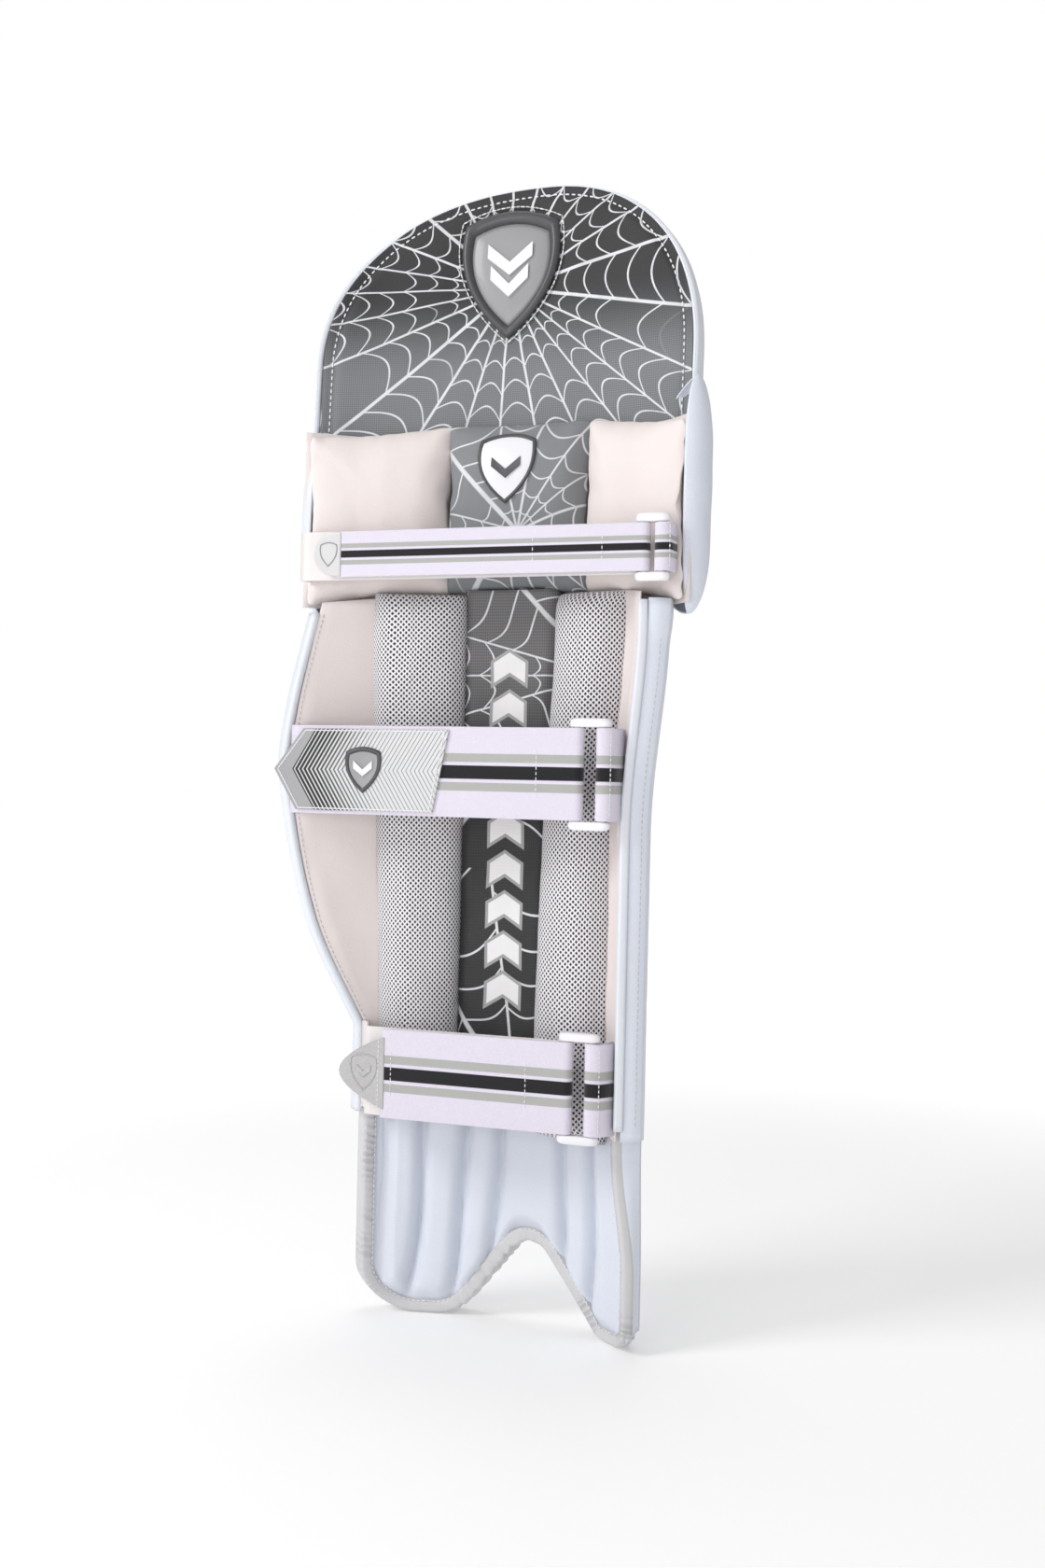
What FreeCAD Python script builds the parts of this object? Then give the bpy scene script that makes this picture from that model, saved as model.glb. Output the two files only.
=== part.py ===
import FreeCAD, Part
import math
import os

# Right-hand-style cricket leg pad, standing on its instep lobes.
# Millimetres.  +Z is up the shin, +Y is the ball side, -Y the leg side with the straps.
# The origin is on the floor, under the middle of the shin lining.

DIMENSIONS = {
    # heights of the flexing sections
    "instep_top": 112,
    "shin_bottom": 120,
    "shin_top": 400,
    "knee_bottom": 410,
    "knee_top": 512,
    "hat_base": 512,
    "hat_gap": 8,
    "hat_lean": 4,
    # layer thicknesses
    "lining_thickness": 2,
    "shin_board_thickness": 10,
    "shin_face_thickness": 3,
    "cane_depth": 10,
    "cane_lift": 8,
    "flap_thickness": 14,
    "instep_thickness": 13,
    "hat_foam_thickness": 6,
    "hat_face_thickness": 2,
    "knee_board_thickness": 10,
    "cushion_depth": 22,
    "bolster_depth": 21,
    "binding_width": 6,
    # wing
    "wing_turn": 38,
    "wing_bottom": 168,
    "wing_foam_thickness": 8,
    "wing_face_thickness": 2.5,
    # rolls
    "roll_height": 34,
    "roll_depth": 20,
    # top hat outline
    "hat_left_reach": 128,
    "hat_right_reach": 99,
    "hat_middle": -9,
    "hat_spring": 39,
    "hat_rise": 109,
    # straps
    "tape_thickness": 1.5,
    "wide_tape": 50,
    "narrow_tape": 26,
    "bar_radius": 2,
    "bar_play": 0.3,
    "ring_lug": 6,
    "ring_play": 0.7,
    "patch_thickness": 1.2,
    "label_thickness": 1.6,
}

CLEARANCE = 0.1

doc = FreeCAD.newDocument("cricket_leg_pad")
sheet = doc.addObject("Spreadsheet::Sheet", "Dimensions")
for row, (alias, value) in enumerate(DIMENSIONS.items(), start=1):
    sheet.set(f"A{row}", alias)
    sheet.set(f"B{row}", str(value))
    sheet.setAlias(f"B{row}", alias)
doc.recompute()

size = DIMENSIONS
parts = []


# ---------------------------------------------------------------- curves

def vector(x, y):
    return FreeCAD.Vector(x, y, 0)


def line(start, end):
    return Part.LineSegment(start, end)


def arc(start, middle, end):
    return Part.Arc(start, middle, end)


def curve_through(points):
    curve = Part.BSplineCurve()
    curve.interpolate(points)
    return curve


def polygon(points):
    return [line(a, b) for a, b in zip(points, points[1:] + points[:1])]


def rectangle(low_x, low_y, high_x, high_y):
    return polygon([vector(low_x, low_y), vector(high_x, low_y),
                    vector(high_x, high_y), vector(low_x, high_y)])


class PlanCurve:
    """The lining surface seen from above: a broad front arc, tighter side arcs, straight ends.

    Places on it are given by the distance along the lining from the middle (negative to the left)
    and the height above the lining towards the leg (negative through the pad to the ball side)."""

    def __init__(self, front_radius, front_reach, side_radius, left_turn, right_turn, shift):
        self.front_radius = front_radius
        self.front_reach = front_reach
        self.side_radius = side_radius
        self.turns = {-1: math.radians(left_turn), 1: math.radians(right_turn)}
        self.shift = shift

    def side_end(self, side):
        turned = self.front_reach / self.front_radius
        return self.front_reach + (self.turns[side] - turned) * self.side_radius

    def point(self, along, height):
        side = 1 if along >= 0 else -1
        reach = abs(along)
        turned = self.front_reach / self.front_radius
        if reach <= self.front_reach:
            heading = reach / self.front_radius
            x = self.front_radius * math.sin(heading)
            y = -self.front_radius * (1 - math.cos(heading))
        else:
            heading = min(turned + (reach - self.front_reach) / self.side_radius, self.turns[side])
            straight = max(0.0, reach - self.side_end(side))
            x = self.front_radius * math.sin(turned)
            x += self.side_radius * (math.sin(heading) - math.sin(turned))
            x += straight * math.cos(heading)
            y = -self.front_radius * (1 - math.cos(turned))
            y -= self.side_radius * (math.cos(turned) - math.cos(heading))
            y -= straight * math.sin(heading)
        x -= height * math.sin(heading)
        y -= height * math.cos(heading)
        return vector(side * x, y + self.shift)

    def run(self, start, end, height):
        """Edges along the curve between two places, at one height."""
        joins = [-self.side_end(-1), -self.front_reach, self.front_reach, self.side_end(1)]
        low, high = min(start, end), max(start, end)
        stops = [low] + [join for join in joins if low < join < high] + [high]
        if start > end:
            stops.reverse()
        edges = []
        for here, there in zip(stops, stops[1:]):
            middle = (here + there) / 2
            side = 1 if middle >= 0 else -1
            ends = self.point(here, height), self.point(there, height)
            if abs(middle) > self.side_end(side):
                edges.append(line(*ends))
            else:
                edges.append(arc(ends[0], self.point(middle, height), ends[1]))
        return edges

    def band(self, start, end, low, high):
        """Closed outline of a layer between two heights."""
        return (self.run(start, end, high)
                + [line(self.point(end, high), self.point(end, low))]
                + self.run(end, start, low)
                + [line(self.point(start, low), self.point(start, high))])


SHIN = PlanCurve(200, 56, 46, size["wing_turn"], 64, 0)
INSTEP = PlanCurve(200, 56, 46, size["wing_turn"], 64, 4.5)
KNEE = PlanCurve(260, 78, 60, 38, 45, 2)
HAT = PlanCurve(420, 85, 130, 28, 28, 2)

SHIN_EDGE = 84
FLAP_EDGE = 104
INSTEP_LEFT = -83.5
INSTEP_RIGHT = 99
KNEE_LEFT = -126
KNEE_RIGHT = 124
HAT_REACH = 124


# ---------------------------------------------------------------- body helpers

def new_body(label):
    body = doc.addObject("PartDesign::Body", label)
    body.Label = label
    body.AllowCompound = True
    parts.append(body)
    return body


def origin_feature(body, role):
    for feature in body.Origin.OriginFeatures:
        if feature.Role == role:
            return feature


def add_sketch(body, role, edges, offset):
    """A sketch on one of the body's own planes, moved along the plane's normal by an expression."""
    sketch = body.newObject("Sketcher::SketchObject", body.Label + "_sketch")
    sketch.AttachmentSupport = [(origin_feature(body, role), "")]
    sketch.MapMode = "FlatFace"
    sketch.setExpression("AttachmentOffset.Base.z", offset)
    sketch.addGeometry(edges, False)
    sketch.Visibility = False
    return sketch


def add_pad(body, role, edges, offset, length):
    pad = body.newObject("PartDesign::Pad", body.Label + "_pad")
    pad.Profile = add_sketch(body, role, edges, offset)
    pad.setExpression("Length", length)
    return pad


def cut_through(body, edges):
    """Cut a front-view outline right through the body."""
    pocket = body.newObject("PartDesign::Pocket", body.Label + "_trim")
    pocket.Profile = add_sketch(body, "XZ_Plane", edges, "0")
    pocket.Type = "ThroughAll"
    pocket.Midplane = True
    return pocket


def keep_inside(body, outline):
    """Remove everything outside a front-view outline."""
    return cut_through(body, rectangle(-200, -100, 200, 700) + outline)


def layer(label, plan, start, end, low, high, bottom, top):
    """A curved sheet standing upright between two heights, given as expressions."""
    body = new_body(label)
    add_pad(body, "XY_Plane", plan.band(start, end, low, high), bottom, f"{top} - {bottom}")
    return body


# ---------------------------------------------------------------- outlines

def shield_outline(middle_x, middle_z, half_width, half_height):
    """A plain shield: shallow arched top, bowed sides meeting in a point."""
    def at(across, up):
        return vector(middle_x + across * half_width, middle_z + up * half_height)
    return [arc(at(-0.95, 0.8), at(0, 1.0), at(0.95, 0.8)),
            arc(at(0.95, 0.8), at(0.86, -0.15), at(0, -1.0)),
            arc(at(0, -1.0), at(-0.86, -0.15), at(-0.95, 0.8))]


def hat_outline(inset):
    """Front view of the top hat: straight sides under a rounded crown."""
    roundness = 2.0 / 2.2
    middle = -size["hat_middle"]
    left = size["hat_left_reach"] - inset
    right = size["hat_right_reach"] - inset
    rise = size["hat_rise"] - inset
    spring = size["hat_spring"]
    base = size["hat_gap"]
    crown = []
    steps = 16
    for step in range(steps + 1):
        angle = math.pi * step / steps
        across = math.copysign(abs(math.cos(angle)) ** roundness, math.cos(angle))
        reach = right if across > 0 else left
        crown.append(vector(middle + reach * across, spring + rise * math.sin(angle) ** roundness))
    return [line(vector(middle - left, base), vector(middle + right, base)),
            line(vector(middle + right, base), crown[0]),
            curve_through(crown),
            line(crown[-1], vector(middle - left, base))]


def lobe_outline(inset):
    """Front view of the instep: two lobes at the floor with an arch for the laces between them."""
    top = size["instep_top"]
    lobe_radius, arch_radius, toe_radius = 28 - inset, 14 + inset, 12 - inset
    lobe_outer, lobe_inner = vector(-50, 28), vector(-40, 28)
    arch_centre = vector(18, 34)
    toe_inner, toe_outer = vector(64, 12), vector(74, 12)

    def on_circle(centre, radius, degrees):
        turn = math.radians(degrees)
        return vector(centre.x + radius * math.cos(turn), centre.y + radius * math.sin(turn))

    def bend(centre, radius, start, end):
        stops = [on_circle(centre, radius, turn) for turn in (start, (start + end) / 2, end)]
        return arc(*stops)

    def crossing_slope(first, second, radii_sum, sign):
        run = second - first
        lean = math.degrees(math.atan2(run.y, run.x))
        return lean + sign * math.degrees(math.asin(radii_sum / run.Length))

    rise = crossing_slope(lobe_inner, arch_centre, lobe_radius + arch_radius, 1)
    fall = crossing_slope(arch_centre, toe_inner, arch_radius + toe_radius, -1)
    left = lobe_outer.x - lobe_radius
    right = toe_outer.x + toe_radius
    return [line(vector(left, top), on_circle(lobe_outer, lobe_radius, 180)),
            bend(lobe_outer, lobe_radius, 180, 270),
            line(on_circle(lobe_outer, lobe_radius, 270), on_circle(lobe_inner, lobe_radius, 270)),
            bend(lobe_inner, lobe_radius, 270, 270 + rise),
            line(on_circle(lobe_inner, lobe_radius, 270 + rise),
                 on_circle(arch_centre, arch_radius, 90 + rise)),
            bend(arch_centre, arch_radius, 90 + rise, 90 + fall),
            line(on_circle(arch_centre, arch_radius, 90 + fall),
                 on_circle(toe_inner, toe_radius, 270 + fall)),
            bend(toe_inner, toe_radius, 270 + fall, 270),
            line(on_circle(toe_inner, toe_radius, 270), on_circle(toe_outer, toe_radius, 270)),
            bend(toe_outer, toe_radius, 270, 360),
            line(on_circle(toe_outer, toe_radius, 360), vector(right, top)),
            line(vector(right, top), vector(left, top))]


def wing_outline(inset):
    """The wing laid flat: hinge line at zero, bowed free edge to the right, height upwards."""
    hinge = 1.0
    top = size["shin_top"]
    bottom = size["wing_bottom"] + inset * 2.5
    edge = curve_through([vector(34 - inset, top), vector(45 - inset, 350), vector(48 - inset, 312),
                          vector(31 - inset, 230 + inset * 0.3), vector(hinge, bottom)])
    return [edge,
            line(vector(hinge, bottom), vector(hinge, top)),
            line(vector(hinge, top), vector(34 - inset, top))]


# ---------------------------------------------------------------- instep

def build_instep():
    span = ("0", "Dimensions.instep_top")
    whole = size["instep_thickness"]
    inset = size["binding_width"]
    layers = (("instep_lining", -3, 0), ("instep_face", -whole, 3 - whole))
    for label, low, high in layers:
        body = layer(label, INSTEP, INSTEP_LEFT, INSTEP_RIGHT, low, high, *span)
        keep_inside(body, lobe_outline(inset))
    canes = new_body("instep_canes")
    for middle in (-64, -43, -22, 6, 34, 55, 76):
        half = 16 if middle == 6 else 8.5
        outline = INSTEP.band(middle - half, middle + half, 3 - whole + CLEARANCE, -3 - CLEARANCE)
        add_pad(canes, "XY_Plane", outline, "0", "Dimensions.instep_top")
    keep_inside(canes, lobe_outline(inset + 3))
    binding = layer("instep_binding", INSTEP, INSTEP_LEFT, INSTEP_RIGHT, -whole - 1, 1, *span)
    keep_inside(binding, lobe_outline(0))
    cut_through(binding, lobe_outline(inset - CLEARANCE))


# ---------------------------------------------------------------- shin

def build_shin():
    span = ("Dimensions.shin_bottom", "Dimensions.shin_top")
    lining = -size["lining_thickness"]
    board = lining - size["shin_board_thickness"]
    face = board - size["shin_face_thickness"]
    layer("shin_lining", SHIN, -SHIN_EDGE, SHIN_EDGE, lining, 0, *span)
    layer("shin_foam_board", SHIN, -SHIN_EDGE, SHIN_EDGE, board, lining, *span)
    layer("shin_face", SHIN, -SHIN_EDGE, SHIN_EDGE, face, board, *span)

    canes = new_body("shin_canes")
    outlines = []
    for number in range(-3, 4):
        middle = number * 22
        base = face - CLEARANCE
        left, right = middle - 10.5, middle + 10.5
        outlines += SHIN.run(left, right, base)
        outlines.append(arc(SHIN.point(right, base), SHIN.point(middle, face - size["cane_depth"]),
                            SHIN.point(left, base)))
    add_pad(canes, "XY_Plane", outlines, span[0], f"{span[1]} - {span[0]}")

    whole = size["flap_thickness"]
    layer("right_flap_lining", SHIN, SHIN_EDGE + CLEARANCE, FLAP_EDGE, lining, 0, *span)
    layer("right_flap_foam", SHIN, SHIN_EDGE + CLEARANCE, FLAP_EDGE, 2 - whole, lining, *span)
    layer("right_flap_face", SHIN, SHIN_EDGE + CLEARANCE, FLAP_EDGE, -whole, 2 - whole, *span)
    layer("right_flap_binding", SHIN, FLAP_EDGE + CLEARANCE, FLAP_EDGE + 3, -whole, 0.5, *span)

    build_bolster("bolster_left", -82, -25.5)
    build_bolster("bolster_right", 30.5, 82.5)
    layer("centre_pad", SHIN, -25, 30, CLEARANCE, 9, *span)


def build_bolster(label, start, end):
    """A stuffed tube standing on the shin lining."""
    depth = size["bolster_depth"]
    middle = (start + end) / 2
    edge = 9
    body = new_body(label)
    crest = curve_through([SHIN.point(end, edge), SHIN.point(end - 8, depth - 4),
                           SHIN.point(middle, depth), SHIN.point(start + 8, depth - 4),
                           SHIN.point(start, edge)])
    outline = SHIN.run(start, end, CLEARANCE)
    outline.append(line(SHIN.point(end, CLEARANCE), SHIN.point(end, edge)))
    outline.append(crest)
    outline.append(line(SHIN.point(start, edge), SHIN.point(start, CLEARANCE)))
    add_pad(body, "XY_Plane", outline, "Dimensions.shin_bottom",
            "Dimensions.shin_top - Dimensions.shin_bottom")


# ---------------------------------------------------------------- wing

def build_wing():
    """Flat panels with their own frame: x out from the hinge, y towards the leg, z up."""
    hinge = SHIN.point(-SHIN_EDGE, 0)
    placement = FreeCAD.Placement(hinge, FreeCAD.Rotation(FreeCAD.Vector(0, 0, 1),
                                                          180 + size["wing_turn"]))
    inset = size["binding_width"] - 1
    lining = "Dimensions.lining_thickness"
    foam = "Dimensions.wing_foam_thickness"
    face = "Dimensions.wing_face_thickness"
    panels = (("wing_lining", "0", lining, inset),
              ("wing_foam", lining, foam, inset),
              ("wing_face", f"{lining} + {foam}", face, inset))
    for label, offset, thickness, edge_inset in panels:
        body = new_body(label)
        add_pad(body, "XZ_Plane", wing_outline(edge_inset), offset, thickness)
        body.Placement = placement
    binding = new_body("wing_binding")
    add_pad(binding, "XZ_Plane", wing_outline(0), "-0.5", f"{lining} + {foam} + {face} + 1")
    cut_through(binding, wing_outline(inset - CLEARANCE))
    binding.Placement = placement


# ---------------------------------------------------------------- knee

def build_knee():
    span = ("Dimensions.knee_bottom", "Dimensions.knee_top")
    board = -size["knee_board_thickness"]
    layer("knee_board", KNEE, KNEE_LEFT, KNEE_RIGHT, board, 0, *span)
    for number, label in enumerate(("knee_roll_lower", "knee_roll_middle", "knee_roll_upper")):
        build_roll(label, number, board - CLEARANCE)
    build_cheek("knee_cheek_left", KNEE_LEFT, -89, board - CLEARANCE)
    build_cheek("knee_cheek_right", 89, KNEE_RIGHT, board - CLEARANCE)
    depth = size["cushion_depth"]
    build_cushion("knee_cushion_left", KNEE_LEFT, -38, 6, depth)
    build_cushion("knee_cushion_centre", -37, 50, depth, depth)
    build_cushion("knee_cushion_right", 51, KNEE_RIGHT, depth, 6)
    label = layer("knee_label", KNEE, -20, 25, depth + CLEARANCE, depth + 1.6, *span)
    keep_inside(label, shield_outline(2.5, 483, 16.5, 19))


def build_roll(label, number, base):
    """One horizontal roll: a half-round drawn on the middle plane and led round the knee."""
    body = new_body(label)
    half = size["roll_height"] / 2 - 0.3
    middle = size["knee_bottom"] + size["roll_height"] * (number + 0.5)
    wall = KNEE.point(0, base).y
    crest = wall + size["roll_depth"]
    corner = FreeCAD.Vector(wall, middle + half, 0)
    foot = FreeCAD.Vector(wall, middle - half, 0)
    profile = add_sketch(body, "YZ_Plane", [
        arc(foot, FreeCAD.Vector(crest, middle, 0), corner),
        line(corner, foot)], "0")
    path = add_sketch(body, "XY_Plane", KNEE.run(0, 88, base), "0")
    pipe = body.newObject("PartDesign::AdditivePipe", label + "_pipe")
    pipe.Profile = profile
    pipe.Spine = (path, ["Edge1", "Edge2"])
    mirror = body.newObject("PartDesign::Mirrored", label + "_mirror")
    mirror.Originals = [pipe]
    mirror.MirrorPlane = (origin_feature(body, "YZ_Plane"), [""])
    body.Tip = mirror


def build_cheek(label, start, end, base):
    """Side bolster outside the knee, between the rolls and the pad's edge."""
    outer = base - size["roll_depth"] * 0.42
    body = new_body(label)
    outline = KNEE.run(start, end, base)
    outline.append(arc(KNEE.point(end, base), KNEE.point((start + end) / 2, outer),
                       KNEE.point(start, base)))
    add_pad(body, "XY_Plane", outline, "Dimensions.knee_bottom",
            "Dimensions.knee_top - Dimensions.knee_bottom")


def build_cushion(label, start, end, start_depth, end_depth):
    """A stuffed cushion on the knee board, thinner where it reaches the pad's edge."""
    full = size["cushion_depth"]
    inner_start = start + 26 if start_depth < full else start
    inner_end = end - 26 if end_depth < full else end
    outline = KNEE.run(start, end, CLEARANCE)
    outline.append(line(KNEE.point(end, CLEARANCE), KNEE.point(end, end_depth)))
    if inner_end < end:
        outline.append(line(KNEE.point(end, end_depth), KNEE.point(inner_end, full)))
    outline += KNEE.run(inner_end, inner_start, full)
    if inner_start > start:
        outline.append(line(KNEE.point(inner_start, full), KNEE.point(start, start_depth)))
    outline.append(line(KNEE.point(start, start_depth), KNEE.point(start, CLEARANCE)))
    body = new_body(label)
    add_pad(body, "XY_Plane", outline, "Dimensions.knee_bottom + 1",
            "Dimensions.knee_top - Dimensions.knee_bottom - 4")


# ---------------------------------------------------------------- top hat

def build_top_hat():
    """Built upright on the seam above the knee, then leaned towards the ball side."""
    placement = FreeCAD.Placement(FreeCAD.Vector(0, 0, size["hat_base"]),
                                  FreeCAD.Rotation(FreeCAD.Vector(1, 0, 0), -size["hat_lean"]))
    span = ("Dimensions.hat_gap", "Dimensions.hat_spring + Dimensions.hat_rise + 1")
    lining = -size["lining_thickness"]
    foam = lining - size["hat_foam_thickness"]
    face = foam - size["hat_face_thickness"]
    inset = size["binding_width"]
    built = []
    for label, low, high in (("top_hat_lining", lining, 0), ("top_hat_foam", foam, lining),
                             ("top_hat_face", face, foam)):
        body = layer(label, HAT, -HAT_REACH, HAT_REACH, low, high, *span)
        keep_inside(body, hat_outline(inset))
        built.append(body)

    binding = layer("top_hat_binding", HAT, -HAT_REACH, HAT_REACH, face - 1, 1, *span)
    keep_inside(binding, hat_outline(0))
    cut_through(binding, hat_outline(inset - CLEARANCE))
    built.append(binding)

    canes = new_body("top_hat_canes")
    outlines = []
    for number in range(-3, 4):
        middle = number * 26 - 4
        base = face - CLEARANCE
        left, right = middle - 12, middle + 12
        outlines += HAT.run(left, right, base)
        outlines.append(arc(HAT.point(right, base), HAT.point(middle, face - size["cane_depth"]),
                            HAT.point(left, base)))
    foot = "Dimensions.hat_gap + Dimensions.cane_lift"
    add_pad(canes, "XY_Plane", outlines, foot, f"{span[1]} - Dimensions.cane_lift - {span[0]}")
    keep_inside(canes, hat_outline(inset + 4))
    built.append(canes)

    badge_x, badge_z = -8, 95
    frame = layer("top_hat_badge_frame", HAT, -60, 60, CLEARANCE, 4, *span)
    keep_inside(frame, shield_outline(badge_x, badge_z, 30, 38))
    cut_through(frame, shield_outline(badge_x, badge_z, 24, 31.5))
    built.append(frame)
    insert = layer("top_hat_badge_insert", HAT, -60, 60, CLEARANCE, 2.5, *span)
    keep_inside(insert, shield_outline(badge_x, badge_z, 23.8, 31.2))
    built.append(insert)
    for body in built:
        body.Placement = placement


# ---------------------------------------------------------------- straps

class Strap:
    """One elastic: sewn base, ring on a short anchor, and the tail folded back through the ring."""

    def __init__(self, name, bars, bar_y, middle, width, tip, base_end, tail_end):
        self.name = name
        self.left_bar, self.right_bar = bars
        self.bar_y = bar_y
        self.low = middle - size[width] / 2
        self.width = f"Dimensions.{width}"
        self.tip = tip
        self.base_end = base_end
        self.tail_end = tail_end
        self.inner = size["bar_radius"] + size["bar_play"]
        self.outer = self.inner + size["tape_thickness"]

    def fold(self, bar, side, radius, start_up=True):
        """Half circle round a bar, opening away from the given side."""
        low, high = vector(bar, self.bar_y - radius), vector(bar, self.bar_y + radius)
        middle = vector(bar + side * radius, self.bar_y)
        return arc(high, middle, low) if start_up else arc(low, middle, high)

    def tape(self, label, edges):
        body = new_body(f"{self.name}_{label}")
        add_pad(body, "XY_Plane", edges, str(self.low), self.width)
        return body


def build_ring(strap):
    """Moulded ring: two round bars between end lugs that stand proud of the tape."""
    body = new_body(strap.name + "_loop")
    lug = size["ring_lug"]
    play = size["ring_play"]
    reach = 2.6
    low = strap.low - play
    for bottom in (f"{low} - Dimensions.ring_lug", f"{low} + {strap.width} + 2 * Dimensions.ring_play"):
        y = strap.bar_y
        left, right = strap.left_bar - 2, strap.right_bar + 2
        outline = [line(vector(left, y - reach), vector(right, y - reach)),
                   arc(vector(right, y - reach), vector(right + reach, y), vector(right, y + reach)),
                   line(vector(right, y + reach), vector(left, y + reach)),
                   arc(vector(left, y + reach), vector(left - reach, y), vector(left, y - reach))]
        add_pad(body, "XY_Plane", outline, bottom, "Dimensions.ring_lug")
    bars = [Part.Circle(vector(x, strap.bar_y), FreeCAD.Vector(0, 0, 1), size["bar_radius"])
            for x in (strap.left_bar, strap.right_bar)]
    add_pad(body, "XY_Plane", bars, f"{low} - 1", f"{strap.width} + 2 * Dimensions.ring_play + 2")


def build_anchor(strap, seam_low, seam_high):
    """Closed loop of tape round the ring's right bar, sewn to the pad between two plan points."""
    end = strap.right_bar + 5
    y = strap.bar_y
    outer, inner = strap.outer, strap.inner
    bar = strap.right_bar
    loop = [line(vector(end, y - outer), vector(bar, y - outer)),
            strap.fold(bar, -1, outer, start_up=False),
            line(vector(bar, y + outer), vector(end, y + outer)),
            line(vector(end, y + outer), seam_low),
            line(seam_low, seam_high),
            line(seam_high, vector(end, y - outer))]
    eye = [line(vector(end, y - inner), vector(bar, y - inner)),
           strap.fold(bar, -1, inner, start_up=False),
           line(vector(bar, y + inner), vector(end, y + inner)),
           line(vector(end, y + inner), vector(end, y - inner))]
    strap.tape("anchor", loop + eye)


def build_tapes(strap):
    bar, y = strap.left_bar, strap.bar_y
    outer, inner = strap.outer, strap.inner
    stop = bar - outer - 2
    strap.tape("base", rectangle(strap.base_end, y + inner, stop, y + outer))
    strap.tape("tail", [line(vector(strap.tail_end, y - outer), vector(bar, y - outer)),
                        strap.fold(bar, 1, outer, start_up=False),
                        line(vector(bar, y + outer), vector(bar, y + inner)),
                        strap.fold(bar, 1, inner),
                        line(vector(bar, y - inner), vector(strap.tail_end, y - inner)),
                        line(vector(strap.tail_end, y - inner), vector(strap.tail_end, y - outer))])
    patch = size["patch_thickness"]
    body = strap.tape("hook_patch", rectangle(strap.tail_end + 3, y - inner + CLEARANCE / 2,
                                              strap.tail_end + 48, y - inner + patch))
    return body


def front_plate(label, outline, y, thickness):
    """A moulded piece with a front-view outline, its leg-side face at y minus its thickness."""
    body = new_body(label)
    add_pad(body, "XZ_Plane", outline, str(-y), thickness)
    return body


def build_straps():
    knee = Strap("knee_strap", (91.5, 101.5), -49, 438, "narrow_tape", -101, -113, -86)
    calf = Strap("calf_strap", (58, 72.5), -52, 316, "wide_tape", -122, -108, -112)
    ankle = Strap("ankle_strap", (54, 68.5), -47, 146, "wide_tape", -80, -74, -52)
    flap_seam = SHIN.point(FLAP_EDGE - 8, 0.3), SHIN.point(FLAP_EDGE - 1.5, 0.3)
    cushion_seam = KNEE.point(KNEE_RIGHT - 6, 10.9), KNEE.point(KNEE_RIGHT - 0.5, 7.5)
    for strap, seam in ((knee, cushion_seam), (calf, flap_seam), (ankle, flap_seam)):
        build_ring(strap)
        build_anchor(strap, *seam)
        build_tapes(strap)

    knee_low, knee_high = knee.low, knee.low + size["narrow_tape"]
    left, right = knee.tip, knee.tail_end - CLEARANCE
    front_plate("knee_strap_tip", [
        arc(vector(right, knee_high), vector(left, 438), vector(right, knee_low)),
        line(vector(right, knee_low), vector(right, knee_high))],
        knee.bar_y - knee.inner, "Dimensions.tape_thickness + 0.6")

    calf_low, calf_high = calf.low, calf.low + size["wide_tape"]
    front_plate("calf_strap_label", polygon([
        vector(calf.tip, 316), vector(-108, calf_low + 2), vector(-24, calf_low + 2),
        vector(-15, calf_high - 2), vector(-104, calf_high - 2)]),
        calf.bar_y - calf.outer - CLEARANCE, "Dimensions.label_thickness")

    left, right = ankle.tip, ankle.tail_end - CLEARANCE
    half = 20.5
    front_plate("ankle_strap_tip", [
        arc(vector(left, 146), vector(left + 10, 146 - half + 5), vector(right, 146 - half)),
        line(vector(right, 146 - half), vector(right, 146 + half)),
        arc(vector(right, 146 + half), vector(left + 10, 146 + half - 5), vector(left, 146))],
        ankle.bar_y - ankle.inner, "Dimensions.tape_thickness + 0.5")


# ---------------------------------------------------------------- build and export

build_instep()
build_shin()
build_wing()
build_knee()
build_top_hat()
build_straps()
doc.recompute()

for item in doc.Objects:
    if "Invalid" in item.State or "Error" in item.State:
        raise RuntimeError(f"{item.Label} failed: {item.State}")
for body in parts:
    if body.Shape.isNull() or not body.Shape.isValid():
        raise RuntimeError(f"{body.Label} has no valid shape")

os.makedirs("parts", exist_ok=True)
for body in parts:
    body.Shape.exportStep(f"parts/{body.Label}.step")
    box = body.Shape.BoundBox
    print(f"{body.Label}: {len(body.Shape.Solids)} solids, {body.Shape.Volume / 1000:.1f} cm3, "
          f"x {box.XMin:.1f}..{box.XMax:.1f} y {box.YMin:.1f}..{box.YMax:.1f} "
          f"z {box.ZMin:.1f}..{box.ZMax:.1f}")
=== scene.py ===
import math
from dataclasses import dataclass
from functools import partialmethod

import bpy
from mathutils import Matrix, Vector, noise
from mathutils.bvhtree import BVHTree


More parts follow.
